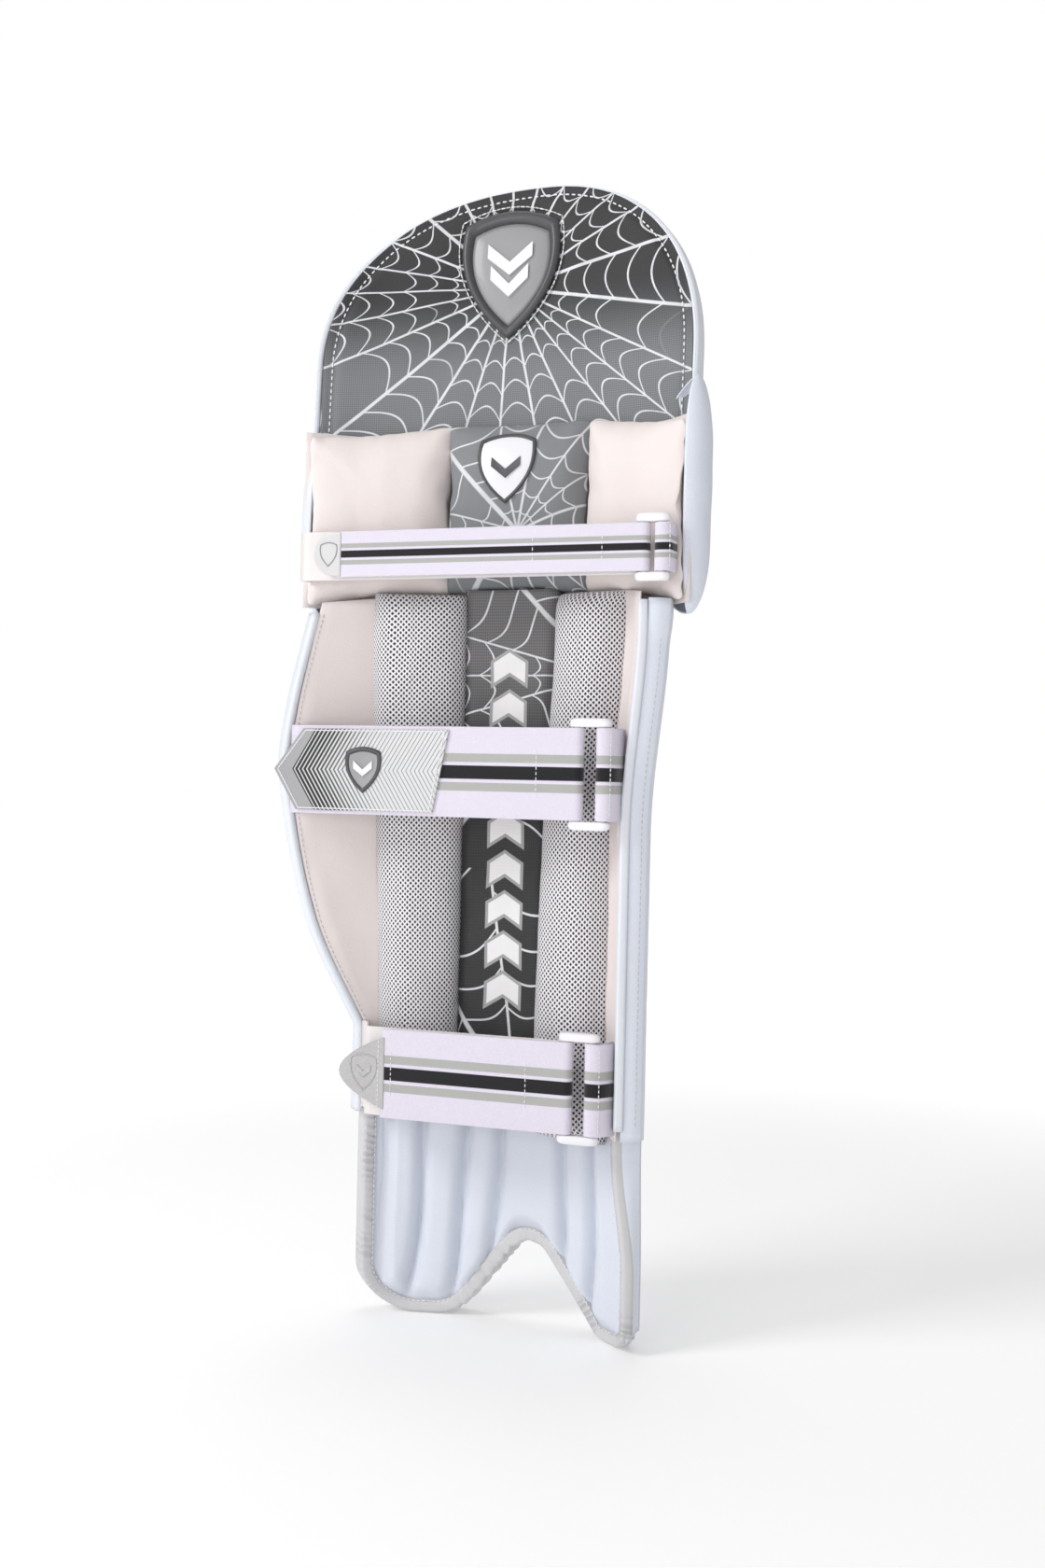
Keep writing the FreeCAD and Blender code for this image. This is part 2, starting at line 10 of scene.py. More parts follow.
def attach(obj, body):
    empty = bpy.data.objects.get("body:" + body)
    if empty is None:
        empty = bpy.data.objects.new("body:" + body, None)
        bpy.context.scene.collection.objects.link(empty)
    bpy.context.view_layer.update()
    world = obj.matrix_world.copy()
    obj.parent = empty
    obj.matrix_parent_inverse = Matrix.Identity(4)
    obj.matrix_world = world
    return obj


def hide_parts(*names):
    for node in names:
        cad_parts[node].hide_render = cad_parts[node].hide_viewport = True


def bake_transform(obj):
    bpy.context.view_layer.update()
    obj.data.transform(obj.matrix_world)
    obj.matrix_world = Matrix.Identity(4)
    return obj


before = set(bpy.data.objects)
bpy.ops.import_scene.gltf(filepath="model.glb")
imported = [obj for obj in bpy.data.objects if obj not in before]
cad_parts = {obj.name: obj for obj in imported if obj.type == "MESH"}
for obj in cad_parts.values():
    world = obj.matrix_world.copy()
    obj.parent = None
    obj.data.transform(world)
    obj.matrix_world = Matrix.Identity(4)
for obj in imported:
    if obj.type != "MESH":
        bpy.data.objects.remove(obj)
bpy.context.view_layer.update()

# Lengths are in millimetres until mesh_object turns them into metres.
MM = 0.001
UP, TO_BALL, TO_LEG = Vector((0, 0, 1)), Vector((0, 1, 0)), Vector((0, -1, 0))
TURN = 2 * math.pi
QUARTER = math.pi / 2


# ---- plan curves

class PlanCurve:
    """A lining surface seen from above: a broad front arc, tighter side arcs, straight ends.

    Places are given by the distance along the lining (negative to the left) and the height
    above it towards the leg (negative through the pad to the ball side)."""

    def __init__(self, front_radius, front_reach, side_radius, left_turn, right_turn, shift):
        self.front_radius = front_radius
        self.front_reach = front_reach
        self.side_radius = side_radius
        self.turned = front_reach / front_radius
        self.turns = {-1: math.radians(left_turn), 1: math.radians(right_turn)}
        self.shift = shift

    def point(self, along, height):
        side = 1 if along >= 0 else -1
        reach = abs(along)
        heading = min(reach / self.front_radius, self.turned)
        x = self.front_radius * math.sin(heading)
        y = -self.front_radius * (1 - math.cos(heading))
        if reach > self.front_reach:
            heading = min(self.turned + (reach - self.front_reach) / self.side_radius, self.turns[side])
            straight = reach - self.front_reach - (heading - self.turned) * self.side_radius
            x += self.side_radius * (math.sin(heading) - math.sin(self.turned)) + straight * math.cos(heading)
            y -= self.side_radius * (math.cos(self.turned) - math.cos(heading)) + straight * math.sin(heading)
        return side * (x - height * math.sin(heading)), y - height * math.cos(heading) + self.shift

    def along(self, x):
        """The distance along the lining at which it has reached a given x."""
        low, high = 0.0, 200.0
        for _ in range(30):
            middle = (low + high) / 2
            if self.point(middle, 0)[0] < abs(x):
                low = middle
            else:
                high = middle
        return math.copysign(low, x)


SHIN = PlanCurve(200, 56, 46, 38, 64, 0)
INSTEP = PlanCurve(200, 56, 46, 38, 64, 4.5)
KNEE = PlanCurve(260, 78, 60, 38, 45, 2)
HAT = PlanCurve(420, 85, 130, 28, 28, 2)

HAT_BASE = 512
HAT_LEAN = math.radians(-4)
SIDE_DRAWN_IN = 7.5


def blend_between(low, high, value):
    """Smooth step from 0 below low to 1 above high."""
    part = min(max((value - low) / (high - low), 0), 1)
    return part * part * (3 - 2 * part)


def dome(gap, radius):
    """Height share of a rounded edge: 0 at the edge, 1 from the radius inwards."""
    return math.sqrt(max(1 - (1 - min(gap / radius, 1)) ** 2, 0))


def drawn_in(x, z, depth):
    """The right side stands closer in over the calf and ankle; at the toe only its outer face does."""
    bow = blend_between(40, 112, z)
    share = (1 - blend_between(285, 400, z)) * (bow + (1 - bow) * depth * 0.85)
    return x - SIDE_DRAWN_IN * share * x / 90 if x > 0 else x


def on_shin(along, height, z):
    x, y = SHIN.point(along, height)
    return drawn_in(x, z, 0), y, z


def on_instep(along, height, z):
    x, y = INSTEP.point(along, height)
    return drawn_in(x, z, min(max(-height / FOOT_THICK, 0), 1)), y, z


def on_knee(along, height, z):
    return (*KNEE.point(along, height), z)


def on_hat(x, height, rise):
    """A place on the leaning top hat, from its x, height above the lining and rise over the seam."""
    x, y = HAT.point(HAT.along(x), height)
    lean = math.cos(HAT_LEAN), math.sin(HAT_LEAN)
    return x, y * lean[0] - rise * lean[1], HAT_BASE + y * lean[1] + rise * lean[0]


def spread(start, end, count):
    return [start + (end - start) * step / (count - 1) for step in range(count)]


def eased(count):
    """Shares from 0 to 1, closer together at both ends."""
    return [0.5 - 0.5 * math.cos(math.pi * share) for share in spread(0, 1, count)]


def wrinkle(place, scale, strength):
    """Soft unevenness of stuffed cloth, the same on every run."""
    return strength * noise.noise(Vector(place) / scale)


# ---- mesh helpers

def mesh_object(name, points, faces, uvs, material, smooth=True):
    """points in millimetres; uvs holds one pair of millimetres per point."""
    mesh = bpy.data.meshes.new(name)
    mesh.from_pydata([Vector(point) * MM for point in points], [], faces)
    mesh.materials.append(material)
    layer = mesh.uv_layers.new(name="UVMap")
    for loop in mesh.loops:
        layer.data[loop.index].uv = uvs[loop.vertex_index]
    mesh.polygons.foreach_set("use_smooth", [smooth] * len(mesh.polygons))
    mesh.update()
    item = bpy.data.objects.new(name, mesh)
    bpy.context.scene.collection.objects.link(item)
    return item


def quads(lines, size, base=0, wrap=False, ring=False, flip=False):
    """Faces between successive lines of size points each, counted from base.

    wrap joins the end of each line to its start, ring joins the last line to the first."""
    faces = []
    for line in range(lines if ring else lines - 1):
        near, far = base + line * size, base + (line + 1) % lines * size
        for step in range(size if wrap else size - 1):
            after = (step + 1) % size
            face = (near + step, far + step, far + after, near + after)
            faces.append(face[::-1] if flip else face)
    return faces


def grid(name, columns, rows, place, material, uv=None, flip=False):
    """A sheet of columns by rows; place(column, row) gives each point."""
    places = [(column, row) for column in columns for row in rows]
    points = [place(*pair) for pair in places]
    uvs = [uv(*pair) for pair in places] if uv else [(x, z) for x, _, z in points]
    return mesh_object(name, points, quads(len(columns), len(rows), flip=flip), uvs, material)


def apply_modifier(item, kind, **settings):
    modifier = item.modifiers.new(kind.title(), kind)
    for key, value in settings.items():
        setattr(modifier, key, value)
    bpy.context.view_layer.update()
    graph = bpy.context.evaluated_depsgraph_get()
    mesh = bpy.data.meshes.new_from_object(item.evaluated_get(graph))
    item.modifiers.clear()
    old = item.data
    item.data = mesh
    bpy.data.meshes.remove(old)
    return item


def thicken(item, inward, thickness=1.0):
    """Give a sheet a real thickness on its hidden side, the one that inward points to."""
    facing = sum(face.normal.dot(inward) * face.area for face in item.data.polygons)
    side = 1 if facing < 0 else -1
    return apply_modifier(item, "SOLIDIFY", thickness=thickness * side * MM, offset=-1)


def dress(item, slot, follow, *pieces):
    """Finish a piece: hide the CAD nodes it stands for, then attach it to its body or bake its transform. The
    material slot is not used.
    """
    if pieces:
        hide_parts(*pieces)
    if callable(follow):
        follow(item)
    else:
        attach(item, follow)
    return item


def cover(name, columns, rows, place, material, inward, slot, follow, *pieces, uv=None, flip=False):
    """A sheet of cloth with a real thickness towards inward, finished as a piece."""
    dress(thicken(grid(name, columns, rows, place, material, uv, flip), inward), slot, follow, *pieces)


def sweep(name, path, normals, binormals, section, material):
    """Lead a closed section of (across, out) pairs along a path with its own frame at each point.

    The section may also be a function that gives the pairs for a point's number. Cloth
    coordinates run along the path and across the section."""
    points, uvs = [], []
    travelled = 0.0
    for number, centre in enumerate(path):
        if number:
            travelled += (Vector(centre) - Vector(path[number - 1])).length
        pairs = section(number) if callable(section) else section
        edge = min(across for across, _ in pairs)
        for across, out in pairs:
            point = Vector(centre) + Vector(normals[number]) * across
            points.append(point + Vector(binormals[number]) * out)
            uvs.append((travelled, across - edge))
    size = len(pairs)
    faces = quads(len(path), size, wrap=True)
    faces.append(tuple(range(size)))
    faces.append(tuple(range((len(path) - 1) * size, len(path) * size))[::-1])
    return mesh_object(name, points, faces, uvs, material)


def rounded_box_section(low, high, inner, outer, radius, steps=4):
    """Section from low to high across and inner to outer out, with rounded corners."""
    corners = [(high - radius, outer - radius, 0), (low + radius, outer - radius, 90),
               (low + radius, inner + radius, 180), (high - radius, inner + radius, 270)]
    section = []
    for x, y, start in corners:
        for turn in spread(math.radians(start), math.radians(start + 90), steps + 1):
            section.append((x + radius * math.cos(turn), y + radius * math.sin(turn)))
    return section


def join(name, items):
    """Merge several meshes into one object."""
    bpy.ops.object.select_all(action="DESELECT")
    for item in items:
        item.select_set(True)
    bpy.context.view_layer.objects.active = items[0]
    bpy.ops.object.join()
    items[0].name = items[0].data.name = name
    return items[0]


def tangents(path):
    """Unit direction of travel at each point of a path."""
    points = [Vector(point) for point in path]
    pairs = zip(points[:1] + points[:-1], points[1:] + points[-1:])
    return [(after - before).normalized() for before, after in pairs]


def tube(name, path, facing, section, material, slot, follow, *pieces):
    """A section swept along a path on a surface that faces one way, finished as a piece."""
    across, out = path_frames(path, lambda number: facing)
    dress(sweep(name, path, across, out, section, material), slot, follow, *pieces)


def path_frames(path, facing):
    """Sideways and facing directions along a path; facing(point number) points off the surface."""
    across, out = [], []
    for number, tangent in enumerate(tangents(path)):
        side = tangent.cross(Vector(facing(number))).normalized()
        across.append(side)
        out.append(side.cross(tangent).normalized())
    return across, out


def resample(path, pitch):
    """Points at an even pitch along a path, each with its direction."""
    points = [Vector(point) for point in path]
    lengths = [0.0]
    for a, b in zip(points, points[1:]):
        lengths.append(lengths[-1] + (b - a).length)
    count = max(1, int(lengths[-1] / pitch))
    found, index = [], 0
    for step in range(count):
        goal = (step + 0.5) * lengths[-1] / count
        while lengths[index + 1] < goal:
            index += 1
        share = (goal - lengths[index]) / (lengths[index + 1] - lengths[index])
        direction = (points[index + 1] - points[index]).normalized()
        found.append((points[index].lerp(points[index + 1], share), direction))
    return found


def stitches(name, path, pitch, length, radius, *threads):
    """A row of stitches along a path, each a short rounded bead; several threads take turns."""
    points, faces, uvs, turns = [], [], [], []
    rings = ((-0.5, 0.25), (-0.3, 0.9), (0.0, 1.0), (0.3, 0.9), (0.5, 0.25))
    sides = 6
    for number, (centre, direction) in enumerate(resample(path, pitch)):
        upward = UP if abs(direction.z) < 0.9 else TO_BALL
        side = direction.cross(upward).normalized()
        lift = side.cross(direction)
        base = len(points)
        for along, wide in rings:
            for turn in spread(0, TURN, sides + 1)[:-1]:
                offset = side * math.cos(turn) + lift * math.sin(turn)
                points.append(centre + direction * along * length + offset * radius * wide)
                uvs.append((along * length, turn))
        bead = quads(len(rings), sides, base, wrap=True, flip=True)
        bead.append(tuple(range(base, base + sides))[::-1])
        bead.append(tuple(range(len(points) - sides, len(points))))
        faces += bead
        turns += [number % len(threads)] * len(bead)
    item = mesh_object(name, points, faces, uvs, threads[0])
    for thread in threads[1:]:
        item.data.materials.append(thread)
    item.data.polygons.foreach_set("material_index", turns)
    return item


def sew(name, path, pitch, length, radius, thread, slot, follow):
    """A row of stitches of one thread, finished as a piece."""
    dress(stitches(name, path, pitch, length, radius, thread), slot, follow)


def prism(name, outline, place, near, far, ends, material, bevel, segments):
    """A flat moulded piece with bevelled edges: an outline of (x, z) points between two heights."""
    count = len(outline)
    points = [place(x, height, z) for height in (near, far) for x, z in outline]
    low_x, low_z = min(x for x, _ in outline), min(z for _, z in outline)
    uvs = [(x - low_x, z - low_z) for x, z in outline] * 2
    sides = [(step, (step + 1) % count, (step + 1) % count + count, step + count) for step in range(count)]
    item = mesh_object(name, points, ends + sides, uvs, material, smooth=False)
    item.data.validate()
    return apply_modifier(item, "BEVEL", width=bevel * MM, segments=segments, limit_method="ANGLE")


def plate(name, outline, y, thickness, material, bevel):
    """A flat plate that stands off y towards the leg."""
    count = len(outline)
    ends = [tuple(range(count))[::-1], tuple(range(count, 2 * count))]
    return prism(name, outline, lambda x, y, z: (x, y, z), y, y - thickness, ends, material, bevel, 3)


def chevron_plate(name, place, centre, half_width, drop, thick, height, material):
    """A raised V, pointing down."""
    x, z = centre
    outline = [(-half_width, 0), (0, -drop), (half_width, 0), (half_width, thick),
               (0, thick - drop), (-half_width, thick)]
    outline = [(x + a, z + b) for a, b in outline]
    ends = [(0, 1, 4, 5), (1, 2, 3, 4), (11, 10, 7, 6), (10, 9, 8, 7)]
    return prism(name, outline, place, height - 1.4, height, ends, material, 0.35, 2)


def shield_path(middle_x, middle_z, half_width, half_height):
    """Outline of a plain shield in front view, from the left shoulder round to it again."""
    shoulder = 0.95
    shape = [(share, 1 - 0.2 * (share / shoulder) ** 2) for share in spread(-shoulder, shoulder, 12)[:-1]]
    side = [(shoulder * (1 - part) ** 2 + 2.49 * part * (1 - part),
             0.8 * (1 - part) ** 2 - 0.4 * part * (1 - part) - part * part)
            for part in spread(0, 1, 24)[:-1]]
    shape += side + [(0, -1.0)] + [(-across, fall) for across, fall in reversed(side[1:])]
    return [(middle_x + across * half_width, middle_z + up * half_height) for across, up in shape]


def shield_plate(name, place, centre, half, profile, material, hole=False):
    """A moulded shield: profile is a list of (scale, height) rings; hole leaves the middle open."""
    rings = [shield_path(*centre, half[0] * scale, half[1] * scale) for scale, _ in profile]
    count = len(rings[0])
    points = [place(x, height, z) for ring, (_, height) in zip(rings, profile) for x, z in ring]
    faces = quads(len(rings), count, wrap=True, ring=hole, flip=True)
    if not hole:
        faces.append(tuple(range(len(points) - count, len(points))))
        faces.append(tuple(range(count))[::-1])
    return mesh_object(name, points, faces, [pair for ring in rings for pair in ring], material)


# ---- shader arithmetic

class Field:
    """A shader value that adds, multiplies and compares like a number."""

    def __init__(self, shader, socket):
        self.shader = shader
        self.socket = socket

    def math(self, operation, *others, swap=False):
        values = [*others, self] if swap else [self, *others]
        return self.shader.node("ShaderNodeMath", values, operation=operation)

    __add__ = __radd__ = partialmethod(math, "ADD")
    __mul__ = __rmul__ = partialmethod(math, "MULTIPLY")
    __sub__ = partialmethod(math, "SUBTRACT")
    __rsub__ = partialmethod(math, "SUBTRACT", swap=True)
    __truediv__ = partialmethod(math, "DIVIDE")
    __rtruediv__ = partialmethod(math, "DIVIDE", swap=True)
    fract = partialmethod(math, "FRACT")
    floor = partialmethod(math, "FLOOR")
    size = partialmethod(math, "ABSOLUTE")
    sine = partialmethod(math, "SINE")
    root = partialmethod(math, "SQRT")
    least = partialmethod(math, "MINIMUM")
    most = partialmethod(math, "MAXIMUM")

    def step(self, low, high):
        """0 below low, 1 above high, smooth between."""
        return self.shader.node("ShaderNodeMapRange", (self, low, high), interpolation_type="SMOOTHSTEP")


class Shader:
    """Builds one procedural material around a Principled shader."""

    def __init__(self, name, roughness=0.6, sheen=0.0, coat=0.0, specular=0.4):
        self.material = bpy.data.materials.new(name)
        self.material.use_nodes = True
        self.tree = self.material.node_tree
        self.surface = self.tree.nodes["Principled BSDF"].inputs
        self.surface["Roughness"].default_value = roughness
        self.surface["Sheen Weight"].default_value = sheen
        self.surface["Coat Weight"].default_value = coat
        self.surface["Specular IOR Level"].default_value = specular
        self.place = self.tree.nodes.new("ShaderNodeTexCoord").outputs

    def feed(self, slot, value):
        """Give an input a number, a colour or another value's result."""
        if isinstance(value, Field):
            self.tree.links.new(value.socket, slot)
        else:
            slot.default_value = (*value, 1) if isinstance(value, tuple) else value

    def node(self, kind, values, output=0, **settings):
        """A new node with its first inputs fed, or the named ones."""
        node = self.tree.nodes.new(kind)
        for key, value in settings.items():
            setattr(node, key, value)
        named = values.items() if isinstance(values, dict) else enumerate(values)
        for key, value in named:
            self.feed(node.inputs[key], value)
        return Field(self, node.outputs[output])

    def split(self, output, scale):
        node = self.tree.nodes.new("ShaderNodeSeparateXYZ")
        self.tree.links.new(self.place[output], node.inputs[0])
        return [Field(self, socket) * scale for socket in node.outputs]

    def uv(self):
        """Cloth coordinates in millimetres."""
        return self.split("UV", 1.0)[:2]

    def position(self):
        """Place on the object in millimetres."""
        return self.split("Object", 1 / MM)

    def noise(self, period, detail=2.0):
        """Soft noise from 0 to 1; period in millimetres."""
        fed = {"Scale": 1 / MM / period, "Detail": detail, "Vector": Field(self, self.place["Object"])}
        return self.node("ShaderNodeTexNoise", fed, "Fac")

    def cells(self, period):
        """Leather grain: small rounded cells, 0 in the creases."""
        fed = {"Scale": 1 / MM / period, "Vector": Field(self, self.place["Object"])}
        return self.node("ShaderNodeTexVoronoi", fed, "Distance", feature="DISTANCE_TO_EDGE").step(0.0, 0.25)

    def chance(self, value):
        """A fixed random number from 0 to 1 for each whole value."""
        return self.node("ShaderNodeTexWhiteNoise", {"W": value}, "Value", noise_dimensions="1D")

    def mix(self, share, first, second):
        """First colour where share is 0, second where it is 1."""
        return self.node("ShaderNodeMix", {0: share, 6: first, 7: second}, 2, data_type="RGBA")

    def weave(self, u, v, pitch_u, pitch_v):
        """Crossing ribs, from -1 to 1, with a pitch each way in millimetres."""
        return (u * (TURN / pitch_u)).sine() * (v * (TURN / pitch_v)).sine()

    def finish(self, colour, height, depth, rough=None):
        """The surface's colour and roughness, and a height from 0 to 1 that stands depth mm high."""
        self.feed(self.surface["Base Color"], colour)
        if rough is not None:
            self.feed(self.surface["Roughness"], rough)
        bump = {"Strength": 1.0, "Distance": depth * MM, "Height": height}
        self.feed(self.surface["Normal"], self.node("ShaderNodeBump", bump))
        return self.material


# ---- materials

def coated_leather(name, light, dark, grain=1.3, depth=0.05, roughness=0.42):
    """Synthetic leather: fine grain with painted shade in its creases, soft colour drift and slightly uneven
    gloss.
    """
    shader = Shader(name, specular=0.45)
    crease = shader.cells(grain)
    # The grain's creases are painted darker: painted shade.
    colour = shader.mix(shader.noise(45, 3) * 0.7 + (1 - crease) * 0.25, light, dark)
    rough = shader.noise(12) * 0.18 + (roughness - 0.09)
    return shader.finish(colour, crease * 0.6 + shader.noise(3.5, 3) * 0.6, depth * 2, rough)


def puckered_binding():
    """Silver coated tape gathered round an edge: short creases across it, painted darker in the folds as
    painted shade, and a satin shine.
    """
    shader = Shader("silver_binding", specular=0.55)
    along, _ = shader.uv()
    crease = (along * (TURN / 4.2) + shader.noise(18) * 14).sine() * 0.5 + 0.5
    fold = crease * shader.noise(34).step(0.5, 0.68)
    # The folds are painted darker: painted shade in the creases.
    colour = shader.mix(fold * 0.6 + shader.noise(30) * 0.3, (0.60, 0.59, 0.60), (0.42, 0.41, 0.42))
    height = 1 - fold * 0.9 + shader.cells(1.1) * 0.06
    return shader.finish(colour, height, 0.75, shader.noise(9) * 0.15 + 0.26)


def brushed_lining():
    """Warm white brushed lining with a short nap."""
    shader = Shader("brushed_lining", roughness=0.85, sheen=0.25, specular=0.2)
    nap = shader.noise(0.9, 3)
    share = shader.noise(35, 3) * 0.8 + nap * 0.2
    colour = shader.mix(share, (0.775, 0.705, 0.69), (0.715, 0.645, 0.63))
    return shader.finish(colour, nap * 0.4 + shader.noise(9, 3) * 0.6, 0.35)


def web_lines(shader, x, z, middle_x, middle_z, spokes, spacing, width):
    """Generic web print: spokes from a middle with sagging threads strung between them.

    Returns the drawn lines and the distance from the middle."""
    sag = 0.46
    across, up = x - middle_x, z - middle_z
    reach = (across * across + up * up).root()
    bearing = up.math("ARCTAN2", across) / TURN + 0.5
    wobble = (bearing * (TURN * 3)).sine() * 0.3 + (bearing * (TURN * 5)).sine() * 0.15
    turn = bearing * spokes + wobble
    sector = turn.floor()
    off = (turn.fract() - 0.5).size()
    spoke = 1 - (reach * (0.5 - off) * (TURN / spokes)).step(width * 0.3, width * 0.6)
    ring = reach / (1 - (0.25 - off * off) * sag) / spacing
    ring = ring.math("POWER", 0.8) + shader.chance(sector) * 0.3
    thread = 1 - ((ring.fract() - 0.5).size() * (spacing * 1.8)).step(width * 0.25, width * 0.5)
    drawn = shader.chance(ring.floor() + sector * 7.3).step(0.12, 0.14)
    return spoke.most(thread * drawn), reach


def arrow_row(x, z, middle, low, high):
    """Generic print: a row of broad arrowheads pointing up. Returns the heads and their outlines."""
    pitch, slant = 23, 0.62
    off = (x - middle).size()
    along = z + off * slant
    share = ((along / pitch).fract() - 0.5).size()
    row = along.step(low, low + 0.1) * (1 - along.step(high - 0.1, high))
    return [(1 - share.step(thick, thick + 0.02)) * (1 - off.step(half, half + 0.4)) * row
            for thick, half in ((0.24, 9.4), (0.33, 11.2))]


def printed_cloth(name, low, high, dark, light, webs, weave=(1.22, 1.22, 0.85), arrows=None):
    """Basket weave, shaded from dark to light up the cloth, with web lines printed on.

    weave holds the pitch across, the pitch up and how dark the little gaps are."""
    shader = Shader(name, roughness=0.55, sheen=0.1, specular=0.35)
    x, _, z = shader.position()
    gap = shader.weave(x, z, weave[0] * 2, weave[1] * 2)
    gap = gap * gap
    shade = z.step(low, high)
    ground = shader.mix(shade, dark, light)
    deep = shader.mix(shade, tuple(part * 0.4 for part in dark), tuple(part * 0.3 for part in light))
    ground = shader.mix(gap * weave[2], ground, deep)
    prints = [web_lines(shader, x, z, *web) for web in webs]
    nearest = prints[0][1]
    for _, reach in prints[1:]:
        nearest = nearest.least(reach)
    lines = 0.0
    for drawn, reach in prints:
        lines = drawn * (1 - (reach - nearest).step(0.2, 1.2)) + lines
    worn = lines * (0.6 + shader.noise(14) * 0.45).least(1.0)
    cloth = shader.mix(worn, ground, (0.76, 0.76, 0.79))
    if arrows:
        heads, outlines = arrow_row(x, z, *arrows)
        cloth = shader.mix(outlines, cloth, (0.33, 0.325, 0.33))
        cloth = shader.mix(heads, cloth, (0.76, 0.75, 0.76))
    return shader.finish(cloth, (1 - gap) * 0.7 + lines * 0.4, 0.15, 0.58 - lines * 0.22)


def net_cloth():
    """White spacer net: threads crossing on the slant leave tall diamond holes, painted near black as painted
    shade over the backing.
    """
    shader = Shader("net_cloth", roughness=0.75, sheen=0.2, specular=0.25)
    u, v = shader.uv()
    wide, tall = 3.0, 3.15
    u = u + shader.noise(38, 1) * 2.4
    rising = (u / wide + v / tall).fract() - 0.5
    falling = (u / wide - v / tall).fract() - 0.5
    off = rising.size().most(falling.size()) + (rising + falling).size() * 0.12
    hole = 1 - off.step(0.28, 0.37)
    strand = shader.mix(shader.noise(0.7) * 0.5, (0.86, 0.83, 0.86), (0.66, 0.64, 0.67))
    # The holes are painted near black: painted shade in the holes.
    return shader.finish(shader.mix(hole, strand, (0.04, 0.04, 0.046)), 1 - hole, 0.6)


def striped_elastic(name, width, stripes):
    """Woven elastic: pale lilac edges, two grey stripes and a black middle one, fine cross ribs.

    stripes holds the distances from the middle at which black, white and grey end."""
    shader = Shader(name, roughness=0.8, sheen=0.3, specular=0.2)
    u, v = shader.uv()
    knit = shader.weave(u, v, 0.85, 0.95)
    off = (v - width / 2).size() + knit * 0.14
    black, white, grey = stripes
    pale = shader.mix(shader.noise(0.8), (0.81, 0.76, 0.87), (0.70, 0.655, 0.76))
    yarn = shader.mix(knit * 0.5 + 0.5, (0.52, 0.52, 0.50), (0.36, 0.36, 0.35))
    tone = shader.mix(off.step(grey - 0.2, grey + 0.2), yarn, pale)
    tone = shader.mix(off.step(white - 0.15, white + 0.15), pale, tone)
    tone = shader.mix(off.step(black - 0.15, black + 0.15), (0.012, 0.012, 0.014), tone)
    return shader.finish(tone, knit * 0.5 + 0.5, 0.22)


def ribbed_tape(name, pitches, valley, ridge, contrast, depth, **surface):
    """Tape of one colour with dense rows of ribs or of tiny hooks."""
    shader = Shader(name, **surface)
    ribs = shader.weave(*shader.uv(), *pitches)
    # The colour follows the ribs; on the hook tape the darker valleys are painted shade.
    return shader.finish(shader.mix(ribs * contrast + contrast, valley, ridge), ribs * 0.5 + 0.5, depth)


def smooth_plastic(name, colour, roughness=0.3, grain=0.02):
    shader = Shader(name, roughness=roughness, coat=0.15)
    tone = shader.mix(shader.noise(20), colour, tuple(part * 0.93 for part in colour))
    return shader.finish(tone, shader.noise(1.2), grain, shader.noise(5) * 0.12 + roughness)


def chevron_rubber(middle):
    """Moulded label: chevrons pointing left, black on silver and closer together to the right."""
    shader = Shader("chevron_rubber", roughness=0.35, coat=0.1)
    u, v = shader.uv()
    along = u + (v - middle).size() * -0.62
    pitch = 2.6
    share = ((along / pitch).fract() - 0.5).size()
    thick = (1 - along.step(10, 62)) * 0.26 + 0.08
    groove = 1 - share.step(thick - 0.05, thick + 0.05)
    tip = 1 - along.step(11.5, 12.0)
    ink = shader.mix(along.step(20, 58), (0.015, 0.015, 0.017), (0.30, 0.30, 0.31))
    face = shader.mix(groove, (0.62, 0.62, 0.63), ink)
    return shader.finish(shader.mix(tip, face, (0.33, 0.33, 0.34)), 1 - groove * (1 - tip), 0.35)


WHITE_PU = coated_leather("white_pu", (0.71, 0.735, 0.81), (0.62, 0.655, 0.74))
PIPING = coated_leather("white_piping", (0.74, 0.76, 0.81), (0.65, 0.68, 0.74), 0.9, 0.03)
GREY_PU = coated_leather("grey_binding", (0.53, 0.52, 0.525), (0.39, 0.38, 0.385), 1.0, 0.08, 0.30)
SILVER_BINDING = puckered_binding()
LINING = brushed_lining()
NET = net_cloth()
HAT_CLOTH = printed_cloth("hat_cloth", 600, 545, (0.030, 0.030, 0.032), (0.20, 0.21, 0.22),
                          [(-8, 600, 25, 8, 1.5)])
PAD_CLOTH = printed_cloth("pad_cloth", 300, 400, (0.028, 0.028, 0.030), (0.16, 0.155, 0.16),
                          [(58, 372, 15, 9, 1.6), (14, 130, 14, 12, 1.8)], (1.3, 1.65, 0.85), (3, 184, 391))
KNEE_SATIN = printed_cloth("knee_satin", 380, 400, (0.21, 0.22, 0.23), (0.22, 0.23, 0.24),
                           [(10, 453, 15, 8, 1.5)], (0.7, 0.7, 0.3))
WIDE_ELASTIC = striped_elastic("wide_elastic", 50, (3.7, 5.6, 10.3))
NARROW_ELASTIC = striped_elastic("narrow_elastic", 26, (2.0, 3.4, 6.0))
PLAIN_ELASTIC = ribbed_tape("plain_elastic", (1.1, 1.0), (0.82, 0.78, 0.78), (0.70, 0.66, 0.66), 0.3, 0.15,
                            roughness=0.8, sheen=0.25, specular=0.2)
